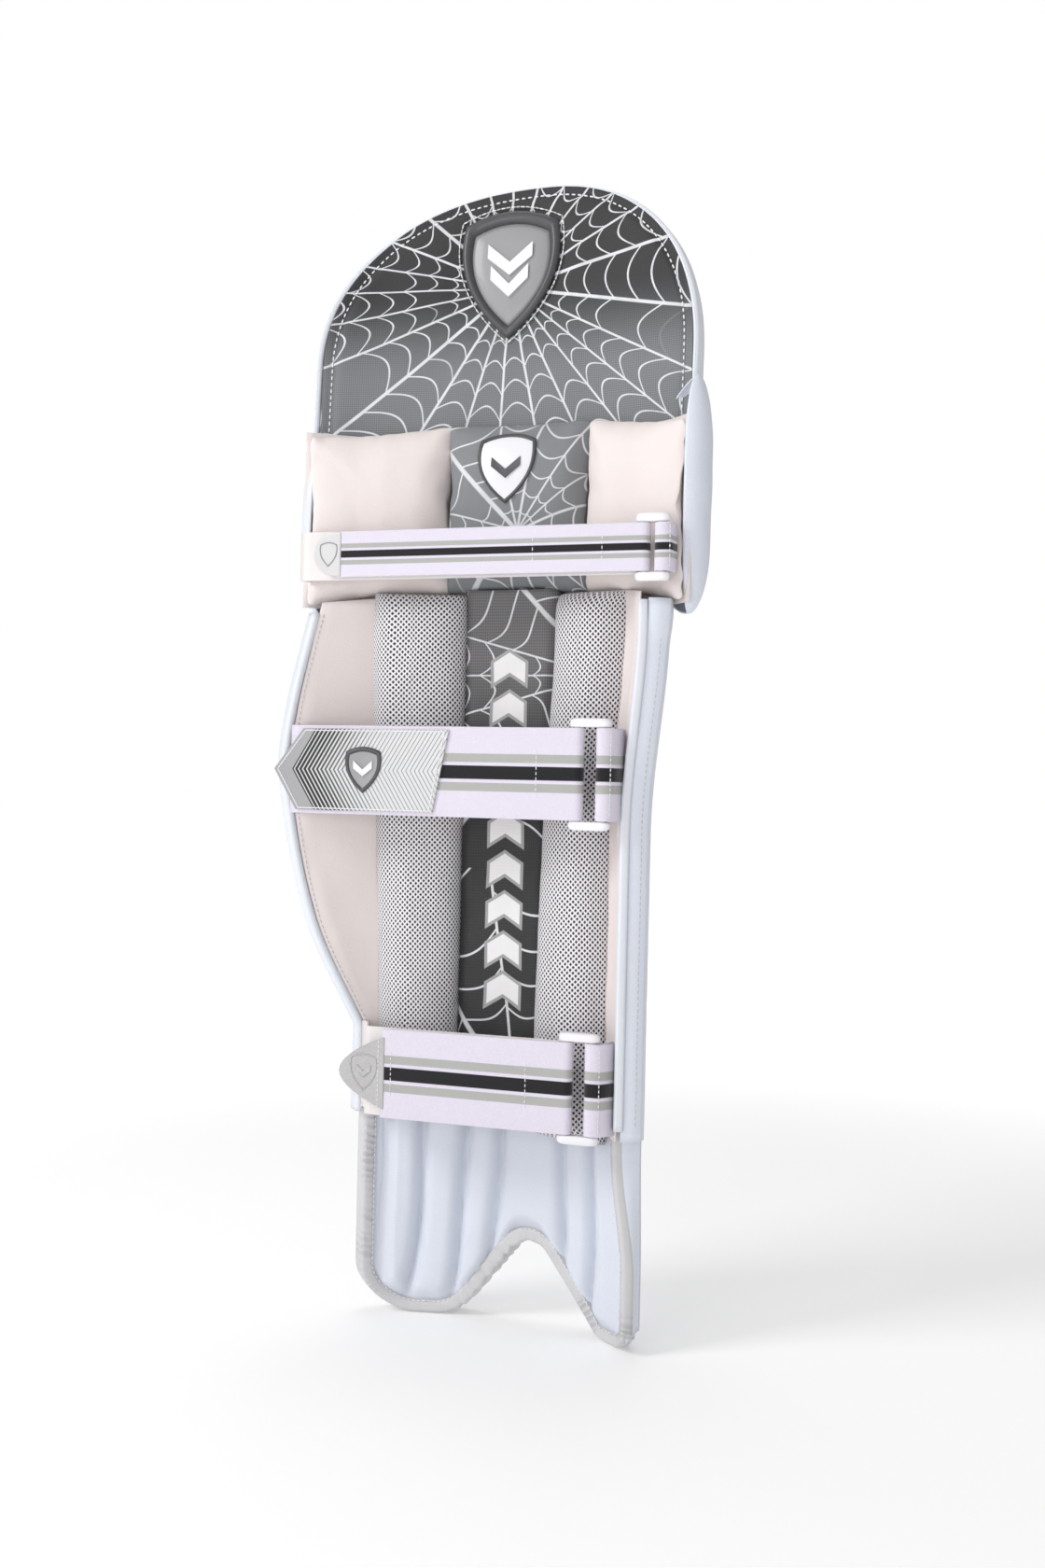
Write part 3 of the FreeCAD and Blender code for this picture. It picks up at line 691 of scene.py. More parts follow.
# The darker valley colour of the hook tape is painted shade between the hooks.
HOOK = ribbed_tape("hook_tape", (1.2, 1.2), (0.62, 0.62, 0.62), (0.85, 0.85, 0.85), 0.5, 0.4,
                   roughness=0.6, specular=0.3)
WHITE_PLASTIC = smooth_plastic("white_plastic", (0.80, 0.79, 0.82))
SILVER_RUBBER = smooth_plastic("silver_rubber", (0.30, 0.30, 0.31), 0.32, 0.03)
DARK_RUBBER = smooth_plastic("dark_rubber", (0.066, 0.066, 0.07), 0.35, 0.03)
CLEAR_RUBBER = smooth_plastic("clear_rubber", (0.62, 0.61, 0.62), 0.25, 0.03)
PALE_RUBBER = smooth_plastic("pale_rubber", (0.78, 0.77, 0.80), 0.35, 0.03)
WHITE_THREAD = smooth_plastic("white_thread", (0.82, 0.82, 0.84), 0.7)
GREY_THREAD = smooth_plastic("grey_thread", (0.55, 0.55, 0.56), 0.7)


# ---- top hat

HAT_MIDDLE, HAT_LEFT, HAT_RIGHT = 9, 128, 99
HAT_SPRING, HAT_RISE, HAT_ROUND = 39, 109, 2.2
HAT_FOOT = -9
HAT_THICK = 10
HAT_TUBE = 26
BADGE = (-8, 95)


def hat_x(turn, inset=0.0):
    return HAT_MIDDLE + ((HAT_RIGHT if turn > 0 else HAT_LEFT) - inset) * math.sin(turn)


def hat_crown(x, inset=0.0):
    """How far the top hat's edge stands over the seam at x."""
    reach = (HAT_RIGHT if x > HAT_MIDDLE else HAT_LEFT) - inset
    share = min(abs(x - HAT_MIDDLE) / reach, 1.0)
    return HAT_SPRING + (HAT_RISE - inset) * (1 - share ** HAT_ROUND) ** (1 / HAT_ROUND)


def hat_nearness(x, rise):
    """0 in the middle of the top hat, 1 at its edge."""
    across = abs(x - HAT_MIDDLE) / (HAT_RIGHT if x > HAT_MIDDLE else HAT_LEFT)
    up = max(rise - HAT_SPRING, 0) / HAT_RISE
    return (across ** HAT_ROUND + up ** HAT_ROUND) ** (1 / HAT_ROUND)


def hat_cover(name, height, inset, columns, rows, *finish, flip=False):
    """A sheet in the form of the top hat, a little inside its edge."""
    def place(turn, share):
        x = hat_x(turn, inset)
        rise = HAT_FOOT + (hat_crown(x, inset) - HAT_FOOT) * share
        return on_hat(x, height(x, rise), rise)
    cover(name, spread(-QUARTER, QUARTER, columns), spread(0, 1, rows), place, *finish, flip=flip)


def hat_edge(inset, height, foot, steps, side_steps):
    """A line beside the top hat's edge from low right, over the crown, to low left."""
    places = [hat_x(turn, inset) for turn in spread(QUARTER, -QUARTER, steps)]
    crown = [(x, hat_crown(x, inset)) for x in places]
    sides = spread(foot, HAT_SPRING, side_steps)[:-1]
    right = [(hat_x(QUARTER, inset), rise) for rise in sides]
    left = [(hat_x(-QUARTER, inset), rise) for rise in reversed(sides)]
    return [on_hat(x, height(x, rise), rise) for x, rise in right + crown + left]


def channel(place, pitch, gap=1.6):
    """Height share of a row of sewn tubes: 1 on each crest, 0.3 in each seam."""
    share = abs((place / pitch) % 1 - 0.5) * 2
    return 0.3 + 0.7 * dome(1 - min(share * pitch / (pitch - gap), 1), 1)


def bend_at_hat(item):
    """Cloth that crosses the seam between the knee and the top hat."""
    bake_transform(item)


def hat_lining_height(x, rise):
    """A softly stuffed face that dips into the stitch line a little inside the edge."""
    near = hat_nearness(x, rise)
    quilt = 2.6 * (1 - near ** 10)
    dip = 1.1 * math.exp(-((near - 0.945) / 0.022) ** 2)
    loose = blend_between(34, 54, math.hypot((x - BADGE[0]) * 1.2, rise - BADGE[1]))
    return 0.4 + quilt - dip - 1.2 * (1 - loose) + wrinkle((x, rise, 3), 38, 1.5) * loose * (1 - near ** 6)


def hat_front_height(x, rise):
    """The ball side's row of upright tubes, flat at the edge and at the seam."""
    fade = 1 - min(hat_nearness(x, rise), 1) ** 7
    return -HAT_THICK - channel(x + 17, HAT_TUBE) * 9 * fade * blend_between(2, 16, rise)


def build_top_hat():
    hat_cover("top_hat_lining_cloth", hat_lining_height, 1.6, 160, 90, HAT_CLOTH, TO_BALL, "carbon_cloth",
              bend_at_hat, "top_hat_lining", "top_hat_foam")
    hat_cover("top_hat_front_cover", hat_front_height, 2, 220, 44, WHITE_PU, TO_LEG, "white_pu",
              bend_at_hat, "top_hat_face", "top_hat_canes", flip=True)
    half = HAT_THICK / 2
    edge = hat_edge(0, lambda x, rise: -half, HAT_FOOT, 90, 8)
    section = rounded_box_section(-3.4, 0, -half - 1.4, half + 0.7, 1.7)
    tube("top_hat_edging", edge, TO_LEG, section, PIPING, "white_pu", bend_at_hat, "top_hat_binding")

    seam = hat_edge(6.5, lambda x, rise: hat_lining_height(x, rise) + 0.25, 2, 120, 12)
    seam = stitches("top_hat_edge_stitching", seam, 3.9, 2.6, 0.5, WHITE_THREAD)
    bend_at_hat(seam)
    rows = []
    for x in range(-95, 88, HAT_TUBE):
        line = [on_hat(x, hat_front_height(x, rise) - 0.2, rise) for rise in spread(4, hat_crown(x) - 9, 24)]
        rows.append(stitches("tube_stitching", line, 3.8, 2.7, 0.35, WHITE_THREAD))
    dress(join("top_hat_cane_stitching", rows), "white_pu", bend_at_hat)


def build_badge():
    """The raised shield on the top hat, with a plain double chevron."""
    def face(x, height, z):
        return on_hat(x, height + 2.4, z)

    ring = shield_plate("badge_frame", face, BADGE, (30, 38),
                        ((1.0, -1.5), (1.0, 1.2), (0.965, 2.6), (0.9, 3.0), (0.845, 2.3), (0.80, 0.4),
                         (0.80, -1.5)), DARK_RUBBER, hole=True)
    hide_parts("top_hat_badge_frame")
    insert = shield_plate("badge_insert", face, BADGE, (24.2, 30.6),
                          ((1.0, -1.5), (1.0, 0.3), (0.9, 1.3), (0.6, 1.9), (0.25, 2.1)), SILVER_RUBBER)
    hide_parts("top_hat_badge_insert")
    marks = [chevron_plate("badge_chevron", face, (BADGE[0], BADGE[1] + lift), half_width, 11, 7.5, 3.1,
                           PALE_RUBBER) for lift, half_width in ((10, 13.5), (-3, 11.3))]
    loop = [face(x, 0.5, z) for x, z in shield_path(*BADGE, 32.2, 40.6)]
    sewing = stitches("badge_stitching", loop + loop[:1], 3.0, 3.0, 0.45, WHITE_THREAD, GREY_THREAD)
    for item in (ring, insert, join("badge_chevrons", marks), sewing):
        dress(item, "grey_rubber", "top_hat")


# ---- knee

KNEE_LEFT, KNEE_RIGHT = -126, 124
KNEE_LOW, KNEE_HIGH = 410, 512
CUSHION_MIDDLE, CUSHION_HALF = 460, 49.5


def stuffed_pouch(name, width, height, depth, material, seed):
    """A sewn pouch blown up with cloth pressure, in its own flat frame: x across, z up, y forward.

    The result is scaled to the wanted width, height and depth, so only its form comes from the cloth."""
    thin = 9.0
    bpy.ops.mesh.primitive_cube_add(size=1)
    item = bpy.context.object
    item.name = item.data.name = name
    for vertex in item.data.vertices:
        vertex.co = Vector((vertex.co.x * width, vertex.co.y * thin, vertex.co.z * height)) * MM
    remesh = item.modifiers.new("Remesh", "REMESH")
    remesh.mode = "VOXEL"
    remesh.voxel_size = 3.6 * MM
    bpy.ops.object.modifier_apply(modifier="Remesh")
    for vertex in item.data.vertices:
        place = (vertex.co.x / MM + seed * 50, vertex.co.y / MM, vertex.co.z / MM)
        vertex.co.y += wrinkle(place, 16, 0.8) * MM
    cloth = item.modifiers.new("Cloth", "CLOTH")
    cloth.settings.use_pressure = True
    cloth.settings.uniform_pressure_force = 4.0
    cloth.settings.mass = cloth.settings.bending_stiffness = 0.25
    cloth.settings.tension_stiffness = cloth.settings.compression_stiffness = 25
    cloth.settings.effector_weights.gravity = 0
    cloth.collision_settings.use_collision = False
    for number in range(1, 21):
        bpy.context.scene.frame_set(number)
    bpy.ops.object.modifier_apply(modifier="Cloth")
    bpy.context.scene.frame_set(1)
    # Across and up the pouch is centred; forward it starts at 0.
    for axis, goal, start in ((0, width, -0.5), (1, depth, 0.0), (2, height, -0.5)):
        places = [vertex.co[axis] for vertex in item.data.vertices]
        low, high = min(places), max(places)
        for vertex in item.data.vertices:
            vertex.co[axis] = ((vertex.co[axis] - low) / (high - low) + start) * goal
    item.data.materials.clear()
    item.data.materials.append(material)
    item.data.polygons.foreach_set("use_smooth", [True] * len(item.data.polygons))
    return apply_modifier(item, "SUBSURF", levels=1, render_levels=1)


def knee_arch(along):
    """The row of knee cushions stands higher in the middle than at its ends."""
    return 9 * (1 - min(abs(along) / 120, 1) ** 2)


def build_cushion(side, start, end, depth, material, slot, seed):
    """One stuffed cushion, sewn down all round, with its edges drawn in by the seams."""
    item = stuffed_pouch(f"knee_cushion_{side}_stuffed", end - start, 2 * CUSHION_HALF, depth, material, seed)
    middle, half = (start + end) / 2, (end - start) / 2
    draw_in = 0.035

    def gather(place):
        return math.sin(place / 2.4 + math.sin(place / 7))

    for vertex in item.data.vertices:
        across, out, up = vertex.co
        side_share, up_share = min(abs(across) / half, 1), min(abs(up) / CUSHION_HALF, 1)
        crown = ((1 - side_share ** 5) * (1 - up_share ** 5)) ** 0.42
        pucker = (gather(up) * side_share ** 9 + gather(across) * up_share ** 9) * (1 - crown)
        along = middle + across * (1 - draw_in * (1 - up_share ** 2))
        rise = up * (1 - draw_in * (1 - side_share ** 2))
        edge = min(along - KNEE_LEFT, KNEE_RIGHT - along)
        thin = (0.45 + 0.55 * blend_between(-12, 52, edge)) * (0.3 + 0.7 * crown)
        place = on_knee(along, 0.4 + out * thin + pucker * 1.1, CUSHION_MIDDLE + rise + knee_arch(along))
        vertex.co = Vector(place) * MM
    item.data.update()
    return dress(item, slot, "knee_block", f"knee_cushion_{side}")


def build_knee_roll(label, low, pitch):
    """One horizontal stuffed roll on the ball side, rounded off towards the cheeks."""
    end, board, thick = 91, 9.6, 20.5

    def place(along, share):
        bulge = dome(min(share, 1 - share), 0.5)
        depth = board + thick * bulge * math.sqrt(max(1 - blend_between(74, end, abs(along)), 0))
        return on_knee(along, -depth - wrinkle((along, share * 30, low), 25, 0.5),
                       low + pitch * (0.5 + (share - 0.5) * (1 - 0.04 * bulge)))

    cover(f"knee_roll_{label}_cover", spread(-end, end, 90), eased(17), place, WHITE_PU, TO_LEG, "white_pu",
          "knee_block", f"knee_roll_{label}", flip=True)


def build_cheek(side, mirror, top):
    """The puffed cover at one side of the knee, closed at its lower and upper ends."""
    low, tip_height = 405, -7
    centre, half_width, back, half_depth = 104, 22, -4, 17

    def place(turn, up):
        z = low + (top - low) * up
        keep = 0.04 + 0.96 * (1 - abs(2 * up - 1) ** 3.2) ** 0.5
        middle = 112 + 5 * blend_between(KNEE_HIGH - 8, KNEE_HIGH + 8, z)
        puff = 1 + wrinkle((turn * 12, z, mirror * 7), 24, 0.06)
        along = middle + (centre + half_width * math.cos(turn) * puff - middle) * keep
        height = tip_height + (back - half_depth * math.sin(turn) * puff - tip_height) * keep
        return on_knee(along * mirror, height, z)

    turns = spread(math.radians(165), math.radians(-28), 44)
    cover(f"knee_cheek_{side}_cover", turns, eased(50), place, WHITE_PU, Vector((-mirror, -0.6, 0)),
          "white_pu", "knee_block", f"knee_cheek_{side}", flip=mirror > 0)


def build_knee_shield(cushion):
    """The small shield that lies on the middle cushion and follows its surface."""
    surface = BVHTree.FromPolygons([vertex.co.copy() for vertex in cushion.data.vertices],
                                   [face.vertices[:] for face in cushion.data.polygons])

    def face(x, height, z):
        place, _, _, _ = surface.ray_cast(Vector((x, -100, z)) * MM, TO_BALL)
        return x, place.y / MM - height - 0.3, z

    centre = (2.5, 489)
    shield = shield_plate("knee_shield", face, centre, (16.5, 19.5), ((1.0, -0.6), (1.0, 0.5), (0.94, 0.8)),
                          PALE_RUBBER)
    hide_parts("knee_label")
    profile = ((1.0, -0.6), (1.0, 1.0), (0.93, 1.2), (0.89, 1.0), (0.89, -0.6))
    rim = shield_plate("knee_shield_rim", face, centre, (17.4, 20.4), profile, DARK_RUBBER, hole=True)
    mark = chevron_plate("knee_shield_mark", face, (2.5, 490), 8.5, 7, 4.5, 1.4, DARK_RUBBER)
    for item in (shield, rim, mark):
        dress(item, "grey_rubber", "knee_block")


def build_knee():
    build_cushion("left", KNEE_LEFT + 1, -36, 23, LINING, "cream_lining", 1)
    centre = build_cushion("centre", -40.5, 51.5, 25, KNEE_SATIN, "grey_satin", 2)
    build_cushion("right", 48, KNEE_RIGHT - 1, 23, LINING, "cream_lining", 3)
    cover("knee_lining", spread(KNEE_LEFT, KNEE_RIGHT, 60), spread(KNEE_LOW, KNEE_HIGH, 8),
          lambda along, z: on_knee(along, 0, z), LINING, TO_BALL, "cream_lining", "knee_block", "knee_board")
    pitch = (KNEE_HIGH - KNEE_LOW) / 3
    for number, label in enumerate(("lower", "middle", "upper")):
        build_knee_roll(label, KNEE_LOW + number * pitch, pitch)
    build_cheek("left", -1, KNEE_HIGH + 2)
    build_cheek("right", 1, KNEE_HIGH + 22)
    build_knee_shield(centre)


# ---- shin and wing

SHIN_LOW, SHIN_HIGH, LINING_TOP = 118, 412, 408
SHIN_EDGE, FLAP_END = 84, 106
SHIN_BACK = -15
CANE_PITCH = 22
WING_REACH = ((168, 1), (230, 31), (312, 48), (350, 45), (400, 34), (440, 24))


def wing_reach(z):
    """How far the wing stands out beyond its hinge line at a height: a smooth curve by points."""
    if z <= WING_REACH[0][0]:
        return WING_REACH[0][1]
    knots = (WING_REACH[0],) + WING_REACH + (WING_REACH[-1],)
    for before, start, end, after in zip(knots, knots[1:], knots[2:], knots[3:]):
        if start[0] <= z < end[0]:
            span = end[0] - start[0]
            part = (z - start[0]) / span
            leave = (end[1] - before[1]) / max(end[0] - before[0], 1) * span
            arrive = (after[1] - start[1]) / max(after[0] - start[0], 1) * span
            square, cube = part * part, part ** 3
            return (start[1] * (2 * cube - 3 * square + 1) + leave * (cube - 2 * square + part)
                    + end[1] * (3 * square - 2 * cube) + arrive * (cube - square))
    return 0.0


def bend_at_wing(item):
    """Cloth that crosses the wing's hinge line."""
    hinge, away = (Vector(SHIN.point(-SHIN_EDGE - beyond, -6)).to_3d() * MM for beyond in (0, 7))
    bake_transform(item)


def bend_at_knee(item):
    """Cloth that crosses the crease under the knee."""
    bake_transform(item)


def build_linings():
    """The linings at the left and the right; their tops run up behind the knee cushions."""
    def left(share, z):
        edge = SHIN_EDGE + wing_reach(z) - 2.5
        along = -edge + (edge - 20) * share
        near = min((edge + along) / 10, 1)
        puff = 1.8 * near * (2 - near) + wrinkle((along, z, 2), 34, 1.6) * near
        return on_shin(along, 0.3 + puff, z + (knee_arch(along) + 3) * blend_between(372, LINING_TOP, z))

    def right(along, z):
        near = min((FLAP_END - along) / 8, 1)
        height = 0.3 + 1.4 * near + wrinkle((along, z, 9), 26, 1.2) * near
        raised = (knee_arch(along) + 5.5) * blend_between(372, LINING_TOP, z) * blend_between(54, 68, along)
        return on_shin(along, height, z + raised)

    cover("left_lining_cloth", spread(0, 1, 60), spread(SHIN_LOW, LINING_TOP, 74), left, LINING, TO_BALL,
          "cream_lining", bend_at_wing, "shin_lining", "wing_lining", flip=True)
    cover("right_lining_cloth", spread(-22, FLAP_END - 1.5, 60), spread(SHIN_LOW, LINING_TOP, 60), right,
          LINING, TO_BALL, "cream_lining", "shin", "right_flap_lining", flip=True)


def build_shin_front():
    """The ball side: a row of upright cane tubes with their seams, and the side wall."""
    def place(column, z):
        along, depth = column
        if abs(along) < 77 and depth <= SHIN_BACK:
            tubes = 9.6 * channel(along + CANE_PITCH / 2, CANE_PITCH)
            depth -= tubes * blend_between(SHIN_LOW - 6, SHIN_LOW + 8, z)
        top = blend_between(386, 404, z) * (6 if along > 80 else 0)
        return on_shin(along + top * 0.25, depth - top * 0.2, z)

    front, side_tube, wall = spread(-SHIN_EDGE, 86, 260), spread(87, 104, 14), spread(0, 1, 12)
    columns = [(along, SHIN_BACK) for along in front]
    columns += [(along, SHIN_BACK - 3.2 * math.sin(math.pi * (along - 86) / 19)) for along in side_tube]
    columns += [(FLAP_END + 1.3 * math.sin(math.pi * share), SHIN_BACK + 12.5 * share) for share in wall]
    cover("shin_front_cover", columns, spread(SHIN_LOW, SHIN_HIGH, 60), place, WHITE_PU, TO_LEG, "white_pu",
          bend_at_knee, "shin_face", "shin_canes", "shin_foam_board", "right_flap_foam", "right_flap_face")
    rows = []
    for along in spread(-2.5 * CANE_PITCH, 2.5 * CANE_PITCH, 6):
        line = [Vector(place((along, SHIN_BACK), z)) + TO_BALL * 0.2 for z in spread(SHIN_LOW + 10, 404, 30)]
        rows.append(stitches("cane_stitching", line, 3.8, 2.7, 0.35, WHITE_THREAD))
    dress(join("shin_cane_stitching", rows), "white_pu", bend_at_knee)


def build_flap_edge():
    """Piping and two rows of stitches along the side wall's free edge."""
    path = [on_shin(FLAP_END + 0.6, -1.0, z) for z in spread(SHIN_LOW + 6, 411, 60)]
    tube("right_flap_piping", path, (0.44, -0.9, 0), rounded_box_section(-2.6, 2.6, -2.2, 2.0, 1.6),
         PIPING, "white_pu", "shin", "right_flap_binding")
    for label, along, height in (("inner", FLAP_END - 3.2, 0.9), ("outer", FLAP_END + 1.2, -11.0)):
        line = [on_shin(along, height, z) for z in spread(SHIN_LOW + 8, 398, 40)]
        sew(f"right_flap_stitching_{label}", line, 3.4, 2.2, 0.28, GREY_THREAD, "white_pu", "shin")


def build_wing():
    levels = spread(SHIN_LOW, 406, 80)

    def outer(share, z):
        edge = SHIN_EDGE + wing_reach(z) - 1
        along = -edge + (edge - 76) * share
        near = min((edge + along) / 8, 1)
        return on_shin(along, -12.6 - 1.5 * near - wrinkle((along, z, 5), 30, 0.8) * near, z)

    cover("wing_front_cover", spread(0, 1, 30), levels, outer, WHITE_PU, TO_LEG, "white_pu", bend_at_wing,
          "wing_face", "wing_foam")
    path = [on_shin(-SHIN_EDGE - wing_reach(z), -6.2, z) for z in levels]
    tube("wing_piping", path, (0.6157, -0.788, 0), rounded_box_section(-2.4, 2.4, -7.2, 7.6, 2.2), PIPING,
         "white_pu", bend_at_wing, "wing_binding")
    line = [on_shin(4.2 - SHIN_EDGE - wing_reach(z), 1.3, z) for z in levels]
    sew("wing_stitching", line, 3.2, 2.2, 0.28, GREY_THREAD, "white_pu", bend_at_wing)


def build_bolster(name, top_span, low_span, low):
    """A tall stuffed tube of net standing on the lining, narrower at the ankle."""
    high, depth = 419, 22

    def place(turn, z):
        share = blend_between(low, high, z)
        start, end = [bottom + (top - bottom) * share for top, bottom in zip(top_span, low_span)]
        middle, half = (start + end) / 2, (end - start) / 2
        close = 0.3 + 0.7 * dome(min(z - low, high - z), 12)
        bulge = math.sin(turn) ** 0.62 if 0 < turn < math.pi else 0.0
        swell = 1 + wrinkle((middle * 45, z, 45), 45, 0.05)
        along = middle - half * math.cos(turn) * (0.94 + 0.06 * close)
        height = 0.2 + depth * bulge * close * swell + wrinkle((along, z, middle), 17, 1.1) * bulge
        return on_shin(along, height, z)

    ends = (0, 1.5, 4, 8, 12)
    levels = [low + gap for gap in ends] + spread(low + 18, high - 18, 72)
    levels += [high - gap for gap in reversed(ends)]
    turns = [math.pi * (0.65 * even + 0.35 * close) for even, close in zip(spread(0, 1, 41), eased(41))]
    halfway = (low + high) / 2
    girth = {turns[0]: 0.0}
    for before, here in zip(turns, turns[1:]):
        girth[here] = girth[before] + math.dist(place(before, halfway), place(here, halfway))
    cover(f"{name}_net_cover", turns, levels, place, NET, TO_BALL, "net_cloth", bend_at_knee, name,
          uv=lambda turn, z: (girth[turn], z), flip=True)


def build_centre_pad():
    """The printed pad between the bolsters."""
    left, right = -27, 33

    def place(along, z):
        crown = dome(min(along - left, right - along), 9)
        return on_shin(along, 1.5 + 9.5 * crown + wrinkle((along, z, 4), 22, 1.8) * crown, z)

    cover("centre_pad_cover", spread(left, right, 50), spread(SHIN_LOW, 421, 110), place, PAD_CLOTH, TO_BALL,
          "carbon_cloth", bend_at_knee, "centre_pad", flip=True)


# ---- instep

FOOT_LEFT, FOOT_RIGHT, FOOT_TOP = -78, 86, 134
FOOT_THICK = 13
FOOT_SEAMS = (-84, -71.5, -47.5, -22, -1, 43, 65, 100)


def foot_edge():
    """Front view of the instep's edge, left side to right side: two lobes and the lace arch."""
    lobe, arch, toe = 28, 14, 12
    lobe_outer, lobe_inner = Vector((-50, 28)), Vector((-40, 28))
    arch_centre = Vector((18, 34))
    toe_inner, toe_outer = Vector((69, 12)), Vector((74, 12))

    def slope(first, second, sign, radii):
        run = second - first
        return math.degrees(math.atan2(run.y, run.x)) + sign * math.degrees(math.asin(radii / run.length))

    rise = slope(lobe_inner, arch_centre, 1, lobe + arch)
    fall = slope(arch_centre, toe_inner, -1, arch + toe)
    arcs = ((lobe_outer, lobe, 180, 270), (lobe_inner, lobe, 270, 270 + rise),
            (arch_centre, arch, 90 + rise, 90 + fall), (toe_inner, toe, 270 + fall, 270),
            (toe_outer, toe, 270, 360))
    corners = [Vector((FOOT_LEFT, FOOT_TOP))]
    for centre, radius, start, end in arcs:
        for turn in spread(math.radians(start), math.radians(end), 12):
            corners.append(centre + Vector((math.cos(turn), math.sin(turn))) * radius)
    corners.append(Vector((FOOT_RIGHT, FOOT_TOP)))
    path = []
    for here, there in zip(corners, corners[1:]):
        steps = max(1, round((there - here).length / 2))
        path += [here.lerp(there, step / steps) for step in range(steps)]
    return path + corners[-1:]


FOOT_EDGE = foot_edge()


def foot_low(x):
    """Lowest point of the instep at x."""
    level = FOOT_TOP
    for here, there in zip(FOOT_EDGE, FOOT_EDGE[1:]):
        if here.x <= x <= there.x and there.x > here.x:
            level = min(level, here.y + (there.y - here.y) * (x - here.x) / (there.x - here.x))
    return level


def rib(along, z):
    """Height share of the instep's sewn ribs; they all drift to the left towards the floor."""
    place = along + 7.5 * ((FOOT_TOP - z) / 120) ** 3 + 0.8 * math.sin(z / 21 + along / 13)
    for start, end in zip(FOOT_SEAMS, FOOT_SEAMS[1:]):
        if start <= place < end:
            return 1 - abs(2 * (place - start) / (end - start) - 1) ** ((end - start) / 7)
    return 0.0


def build_instep_sheets():
    """Ribbed lining, front cover and the cover's thick right end."""
    middle, half = (FOOT_LEFT + FOOT_RIGHT) / 2, (FOOT_RIGHT - FOOT_LEFT) / 2 - 1.2
    front_top, hem = FOOT_TOP - 8, 1.5
    columns = []
    for turn in spread(-QUARTER, QUARTER, 190):
        x = middle + half * math.sin(turn)
        columns.append((INSTEP.along(x), foot_low(x) + hem, min(x - FOOT_LEFT, FOOT_RIGHT - x)))
    shares = [1 - (1 - share) ** 0.8 for share in spread(0, 1, 36)]

    def inner(column, share):
        along, low, side = column
        z = low + (FOOT_TOP - low) * share
        fade = blend_between(5, 16, min(side, z - low + hem))
        return on_instep(along, -2.5 + 8.5 * rib(along, z) * fade + 2 * (1 - fade), z)

    def outer(column, share):
        along, low, side = column
        z = low + (front_top - low) * share
        fade = blend_between(2, 13, min(side, z - low + hem))
        return on_instep(along, -FOOT_THICK - 3.0 * rib(along, z) * fade, z)

    def end_wall(part, share):
        low = 6 + 7 * (1 - part)
        along = INSTEP.along(FOOT_RIGHT) + 1.2 * math.sin(math.pi * part)
        return on_instep(along, -FOOT_THICK - 2 + (FOOT_THICK + 1) * part, low + (front_top - low) * share)

    def cloth(column, share):
        return column[0], share * 100

    cover("instep_lining_cloth", columns, shares, inner, WHITE_PU, TO_BALL, "white_pu", bend_at_foot,
          "instep_lining", "instep_canes", uv=cloth, flip=True)
    cover("instep_front_cover", columns, shares, outer, WHITE_PU, TO_LEG, "white_pu", bend_at_foot,
          "instep_face", uv=cloth)
    cover("instep_end_wall", spread(0, 1, 10), spread(0, 1, 30), end_wall, WHITE_PU,
          Vector((-0.44, 0.9, 0)), "white_pu", bend_at_foot)


def bend_at_foot(item):
    """Cloth that crosses the crease over the foot."""
    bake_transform(item)


def build_instep_binding():
    """The binding tube round the instep's edge, gathered on the arch, with its stitches."""
    edge = [point for point in FOOT_EDGE if point.y < FOOT_TOP - 6]
    half = FOOT_THICK / 2

    def leg_side(number):
        along = INSTEP.along(edge[number].x)
        base, lifted = INSTEP.point(along, 0), INSTEP.point(along, 1)
        return Vector((lifted[0] - base[0], lifted[1] - base[1], 0))

    def section(number):
        x = edge[number].x
        back = -half - 1.2 + 9.5 * blend_between(46, 72, x)
        gathered = 1.9 * blend_between(34, 8, abs(x + 4))
        pucker = gathered * abs(math.sin(number * 0.9 + math.sin(number * 0.37)))
        return rounded_box_section(-6.8, 0.6 + pucker, back, half + 2.2 + pucker, 2.3)

    path = [Vector(on_instep(INSTEP.along(point.x), 0, point.y)) - leg_side(number) * half
            for number, point in enumerate(edge)]
    across, out = path_frames(path, leg_side)
    binding = sweep("instep_binding_tube", path, across, out, section, SILVER_BINDING)
    dress(binding, "grey_binding", bend_at_foot, "instep_binding")
    line = [point - across[number] * 6.2 + out[number] * (half + 2.2) for number, point in enumerate(path)]
    sew("instep_stitching", line, 3.0, 2.2, 0.3, WHITE_THREAD, "grey_binding", bend_at_foot)


# ---- straps

TAPE = 1.5
FOLD = 3.05


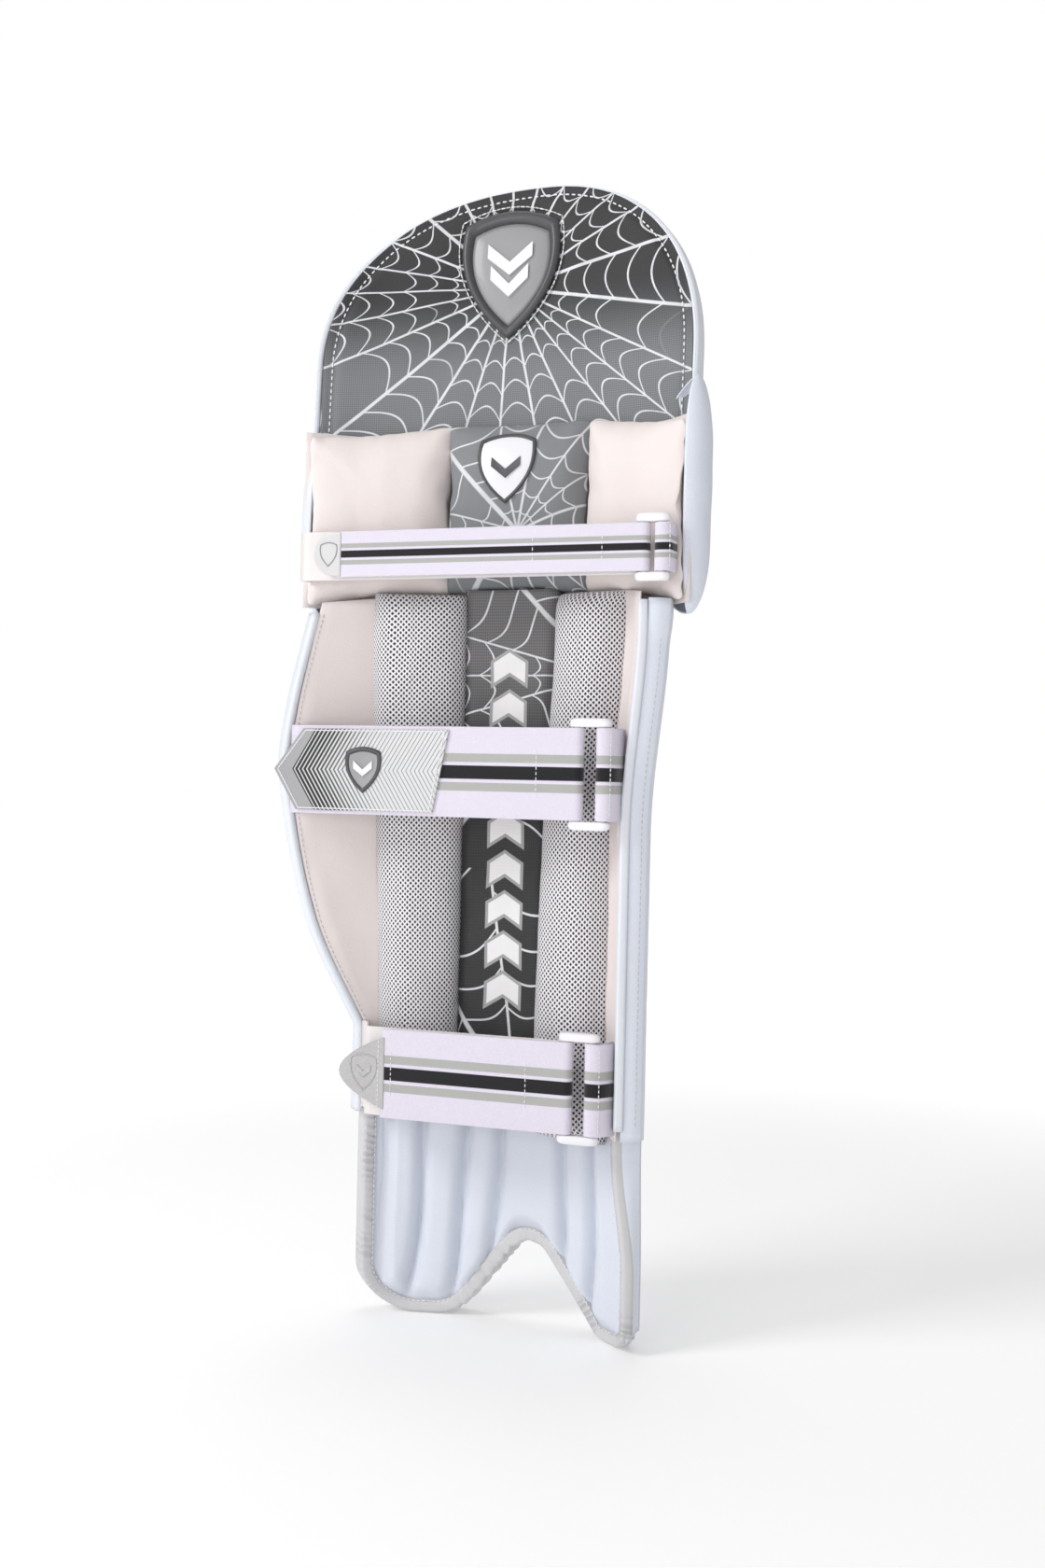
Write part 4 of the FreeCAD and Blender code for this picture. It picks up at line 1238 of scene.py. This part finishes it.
@dataclass
class Strap:
    """One elastic strap across the back of the leg, with its ring, anchor, base band and tail."""
    name: str
    home: str
    left_bar: float
    right_bar: float
    bar_y: float
    middle: float
    width: float
    base_end: float
    tail_end: float
    second_seam: float
    elastic: object

    def body(self, part):
        return self.name.replace("strap", part)

    def tape(self, label, plan, material, follow, piece, slot="elastic", width=None, thickness=TAPE):
        """Lay a tape on edge along a path seen from above."""
        half = (width or self.width) / 2
        path = [(x, y, self.middle) for x, y in plan]
        out = [tangent.cross(UP) for tangent in tangents(path)]
        section = rounded_box_section(-half, half, -thickness / 2, thickness / 2, thickness * 0.4, 3)
        item = sweep(f"{self.name}_{label}", path, [UP] * len(path), out, section, material)
        dress(item, slot, follow, f"{self.name}_{piece}")

    def turn(self, bar, start, end):
        """Points of a fold round a bar; degrees, 0 to the right and 90 towards the pad."""
        return [(bar + FOLD * math.cos(turn), self.bar_y + FOLD * math.sin(turn))
                for turn in spread(math.radians(start), math.radians(end), 14)]

    def cross_stitch(self, label, x, body, reach=0.9):
        """A row of stitches up and down the tape's front face."""
        half = self.width / 2 * reach
        line = [(x, self.bar_y - FOLD - 0.9, z) for z in spread(self.middle - half, self.middle + half, 12)]
        sew(f"{self.name}_{label}", line, 2.6, 1.9, 0.3, WHITE_THREAD, "elastic", body)


def build_ring(strap):
    """Gloss plastic ring: two round bars between rounded lugs."""
    parts = []
    lug_reach, lug_depth, lug_height, bar_radius = 4.6, 2.73, 4.6, 2
    half = strap.width / 2 + 0.7
    middle_x = (strap.left_bar + strap.right_bar) / 2
    outline = [(bar + side * lug_reach * math.cos(turn) - middle_x, lug_depth * math.sin(turn))
               for side, bar in ((-1, strap.left_bar), (1, strap.right_bar))
               for turn in spread(side * QUARTER, -side * QUARTER, 9)]
    count = len(outline)
    for side in (-1, 1):
        rings = [(half - 0.2, 0.97), (half + 0.5, 1.0)]
        for share, scale in ((0.5, 1.0), (0.8, 0.95), (0.95, 0.84), (1.0, 0.6)):
            rings.append((half + lug_height * share, scale))
        points = [(middle_x + x * scale, strap.bar_y + y * scale, strap.middle + side * level)
                  for level, scale in rings for x, y in outline]
        faces = quads(len(rings), count, wrap=True, flip=side < 0)
        faces.append(tuple(range(count))[::side])
        faces.append(tuple(range(len(points) - count, len(points)))[::-side])
        parts.append(mesh_object("lug", points, faces, [(0, 0)] * len(points), WHITE_PLASTIC))
    circle = [(bar_radius * math.cos(turn), bar_radius * math.sin(turn)) for turn in spread(0, TURN, 21)[:-1]]
    for bar in (strap.left_bar, strap.right_bar):
        path = [(bar, strap.bar_y, strap.middle + share * half * 1.01) for share in (-1, 1)]
        parts.append(sweep("bar", path, [(1, 0, 0)] * 2, [TO_BALL] * 2, circle, WHITE_PLASTIC))
    dress(join(f"{strap.name}_ring", parts), "white_plastic", strap.body("ring"), f"{strap.name}_loop")


def build_tapes(strap, seam):
    """Striped anchor and tail, and the hook patch; seam holds the anchor's two sewn ends."""
    low, high = seam
    end, tail = strap.right_bar + 5, strap.body("tail")
    front, back = strap.bar_y - FOLD, strap.bar_y + FOLD
    loop = [high, (end, front)] + strap.turn(strap.right_bar, 270, 90) + [(end, back), low]
    strap.tape("anchor_tape", loop, strap.elastic, strap.home, "anchor")
    strap.cross_stitch("anchor_stitching", end + 0.5, strap.home)
    plan = [(x, front) for x in spread(strap.tail_end, strap.left_bar - 1, 40)]
    strap.tape("tail_tape", plan + strap.turn(strap.left_bar, -90, 90), strap.elastic, tail, "tail")
    strap.cross_stitch("tail_stitching_1", strap.left_bar - 22, tail, 0.52)
    strap.cross_stitch("tail_stitching_2", strap.tail_end + strap.second_seam, tail, 0.52)
    patch = [(strap.tail_end + reach, strap.bar_y - 1.7) for reach in (3, 48)]
    strap.tape("hook_patch_tape", patch, HOOK, tail, "hook_patch", "hook_tape", strap.width - 6, 1.1)


def build_base_band(strap, start, follow, width=None):
    """The plain band that the tail fastens to, sewn in at its left end."""
    plan = [(x, strap.bar_y + FOLD) for x in spread(strap.base_end, strap.left_bar - 1, 40)]
    strap.tape("base_band", start + plan, PLAIN_ELASTIC, follow, "base", width=width)


def emboss(name, outline, y, pitch, length, radius, material):
    """A raised bead along a closed front-view outline at depth y."""
    loop = [(x, y, z) for x, z in outline]
    return stitches(name, loop + loop[:1], pitch, length, radius, material)


def build_knee_tip(strap):
    """Clear rounded end piece with a raised shield outline."""
    end, face = strap.tail_end + 3, strap.bar_y - 2.2
    outline = [(end - 17 * math.cos(turn) ** 0.8, strap.middle + 12.6 * math.sin(turn))
               for turn in spread(math.radians(80), math.radians(-80), 17)]
    outline = [(end, strap.middle + 12.6)] + outline + [(end, strap.middle - 12.6)]
    tip = plate("knee_strap_end", outline[::-1], face, 2.4, CLEAR_RUBBER, 0.8)
    dress(tip, "white_plastic", "knee_tail", "knee_strap_tip")
    mark = emboss("knee_strap_end_emboss", shield_path(end - 7.5, strap.middle, 5.2, 6.6), face - 2.4,
                  1.0, 1.6, 0.4, SILVER_RUBBER)
    dress(mark, "white_plastic", "knee_tail")


def build_calf_label(strap):
    """Moulded label with a pointed left end, a raised border and a plain shield."""
    face, thick = strap.bar_y - FOLD - TAPE / 2, 1.6
    outline = [(-122, 316), (-108, 293), (-24, 293), (-15, 339), (-104, 339)]
    label = plate("calf_strap_badge", outline, face, thick, chevron_rubber(23), 0.4)
    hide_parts("calf_strap_label")
    x, z = centre = (-66, strap.middle)
    border = []
    for here, there in zip(outline, outline[1:] + outline[:1]):
        for share in spread(0, 1, 12)[:-1]:
            border.append(Vector(centre).lerp(Vector(here).lerp(Vector(there), share), 0.955))
    border = emboss("calf_strap_badge_border", border, face - thick, 2.0, 2.6, 0.4, PALE_RUBBER)

    def on_label(x, height, z):
        return x, face - 1.4 - height, z

    rim = shield_plate("calf_strap_badge_rim", on_label, centre, (11, 13),
                       ((1.0, -0.6), (1.0, 0.8), (0.9, 1.2), (0.8, 0.9), (0.8, -0.6)), DARK_RUBBER, hole=True)
    field = shield_plate("calf_strap_badge_field", on_label, centre, (9.4, 11.2),
                         ((1.0, -0.6), (1.0, 0.5), (0.9, 0.7)), SILVER_RUBBER)
    mark = chevron_plate("calf_strap_badge_mark", on_label, (x, z + 1), 5.4, 4.6, 3.4, 1.4, PALE_RUBBER)
    for item in (label, border, rim, field, mark):
        dress(item, "grey_rubber", "calf_tail")


def build_ankle_tip(strap):
    """Grey leaf-shaped end piece with a raised shield and a row of stitches."""
    end, face = strap.tail_end + 2, strap.bar_y - 2.2
    outline = [(end - 28 * (1 - abs(up) ** 1.7), strap.middle + 20.5 * math.copysign(abs(up) ** 0.9, up))
               for up in spread(-0.98, 0.98, 29)]
    outline = [(end, strap.middle - 20.5)] + outline + [(end, strap.middle + 20.5)]
    tab = plate("ankle_strap_end", outline, face, 2.2, GREY_PU, 0.7)
    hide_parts("ankle_strap_tip")
    middle_x = end - 12.5
    ring = emboss("ankle_strap_end_emboss", shield_path(middle_x, strap.middle, 8.0, 10), face - 2.2,
                  1.4, 2.1, 0.5, GREY_PU)
    mark = chevron_plate("ankle_strap_end_mark", lambda x, height, z: (x, face - 1.6 - height, z),
                         (middle_x, strap.middle + 1), 4.2, 3.8, 2.6, 1.0, GREY_PU)
    row = [(end - 3.5, face - 2.3, z) for z in spread(strap.middle - 19, strap.middle + 19, 10)]
    sewing = stitches("ankle_strap_end_stitching", row, 2.6, 1.9, 0.3, WHITE_THREAD)
    for item in (tab, ring, mark, sewing):
        dress(item, "grey_binding", "ankle_tail")


def bend_at_band(item):
    """The calf's base band runs from the shin on to the wing."""
    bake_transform(item)


def build_straps():
    knee = Strap("knee_strap", "knee_block", 91.5, 101.5, -49, 438, 26, -113, -88, 118, NARROW_ELASTIC)
    calf = Strap("calf_strap", "shin", 58, 72.5, -52, 316, 50, -111, -112, 6, WIDE_ELASTIC)
    ankle = Strap("ankle_strap", "shin", 54, 68.5, -47, 146, 50, -66, -54, 6, WIDE_ELASTIC)
    build_ring(knee)
    build_tapes(knee, (KNEE.point(118, 11.5), KNEE.point(123.5, 8.0)))
    for strap in (calf, ankle):
        build_ring(strap)
        build_tapes(strap, [on_shin(FLAP_END - gap, 1.3, strap.middle)[:2] for gap in (10, 2.5)])
    wing_edge = SHIN_EDGE + 44
    build_base_band(calf, [SHIN.point(-wing_edge, 0.5), SHIN.point(2 - wing_edge, 1.6)], bend_at_band)
    build_base_band(ankle, [SHIN.point(-SHIN_EDGE, 2.0), SHIN.point(1.5 - SHIN_EDGE, 6)], "shin")
    build_base_band(knee, [KNEE.point(-125, 5), KNEE.point(-123.5, 8)], "knee_block", 28)
    build_knee_tip(knee)
    build_calf_label(calf)
    build_ankle_tip(ankle)


# ---- stage

def build_backdrop():
    """A white world that lights the object only softly, and a pale floor that brightens far out."""
    lighting, seen_strength = 0.47, 1.0
    world = bpy.data.worlds.new("studio")
    bpy.context.scene.world = world
    world.use_nodes = True
    tree = world.node_tree
    backdrop = tree.nodes["Background"].inputs
    backdrop["Color"].default_value = (1, 1, 1, 1)
    seen = tree.nodes.new("ShaderNodeLightPath")
    strength = tree.nodes.new("ShaderNodeMapRange")
    strength.inputs["To Min"].default_value = lighting
    strength.inputs["To Max"].default_value = seen_strength
    tree.links.new(seen.outputs["Is Camera Ray"], strength.inputs["Value"])
    tree.links.new(strength.outputs["Result"], backdrop["Strength"])

    paint = Shader("floor_paint", roughness=0.9, specular=0.1)
    x, y, _ = paint.position()
    paint.feed(paint.surface["Base Color"], (0.90, 0.90, 0.90))
    paint.feed(paint.surface["Emission Color"], (1, 1, 1))
    paint.feed(paint.surface["Emission Strength"], (x * x + y * y).root().step(450, 1500) * 0.4 + 0.19)
    reach = (-12000, 12000)
    grid("floor", reach, reach, lambda x, y: (x, y, -1.2), paint.material)


def build_lamp(name, place, aim, size, power):
    data = bpy.data.lights.new(name, "AREA")
    data.shape = "SQUARE"
    data.size = size
    data.energy = power
    item = bpy.data.objects.new(name, data)
    bpy.context.scene.collection.objects.link(item)
    item.location = place
    item.rotation_euler = (Vector(aim) - Vector(place)).to_track_quat("-Z", "Y").to_euler()


def build_camera():
    """One metre away, 20 degrees to the right of straight on, with a slight roll."""
    turn, roll = math.radians(20), math.radians(1.3)
    data = bpy.data.cameras.new("camera")
    data.sensor_width = 36
    data.lens = 39.68
    data.shift_x = 0.0089
    camera = bpy.data.objects.new("camera", data)
    bpy.context.scene.collection.objects.link(camera)
    stand = Matrix.Translation((math.sin(turn), -math.cos(turn), 0.310))
    aim = Matrix.Rotation(turn, 4, "Z") @ Matrix.Rotation(QUARTER, 4, "X")
    camera.matrix_world = stand @ aim @ Matrix.Rotation(roll, 4, "Z")
    bpy.context.scene.camera = camera


build_top_hat()
build_badge()
build_knee()
build_linings()
build_shin_front()
build_flap_edge()
build_wing()
build_bolster("bolster_left", (-83, -25.5), (-74, -26), 117)
build_bolster("bolster_right", (32, 79), (25, 80), 111)
build_centre_pad()
build_instep_sheets()
build_instep_binding()
build_straps()
bpy.context.scene.view_settings.view_transform = "Standard"
build_backdrop()
build_lamp("key_light", (-1.5, -1.6, 1.7), (0, 0, 0.33), 0.9, 27)
build_lamp("fill_light", (-0.3, -2.2, 0.30), (0, 0, 0.28), 1.3, 17)
build_lamp("top_light", (-0.3, 0.5, 2.3), (0, 0, 0.3), 1.2, 10)
build_camera()
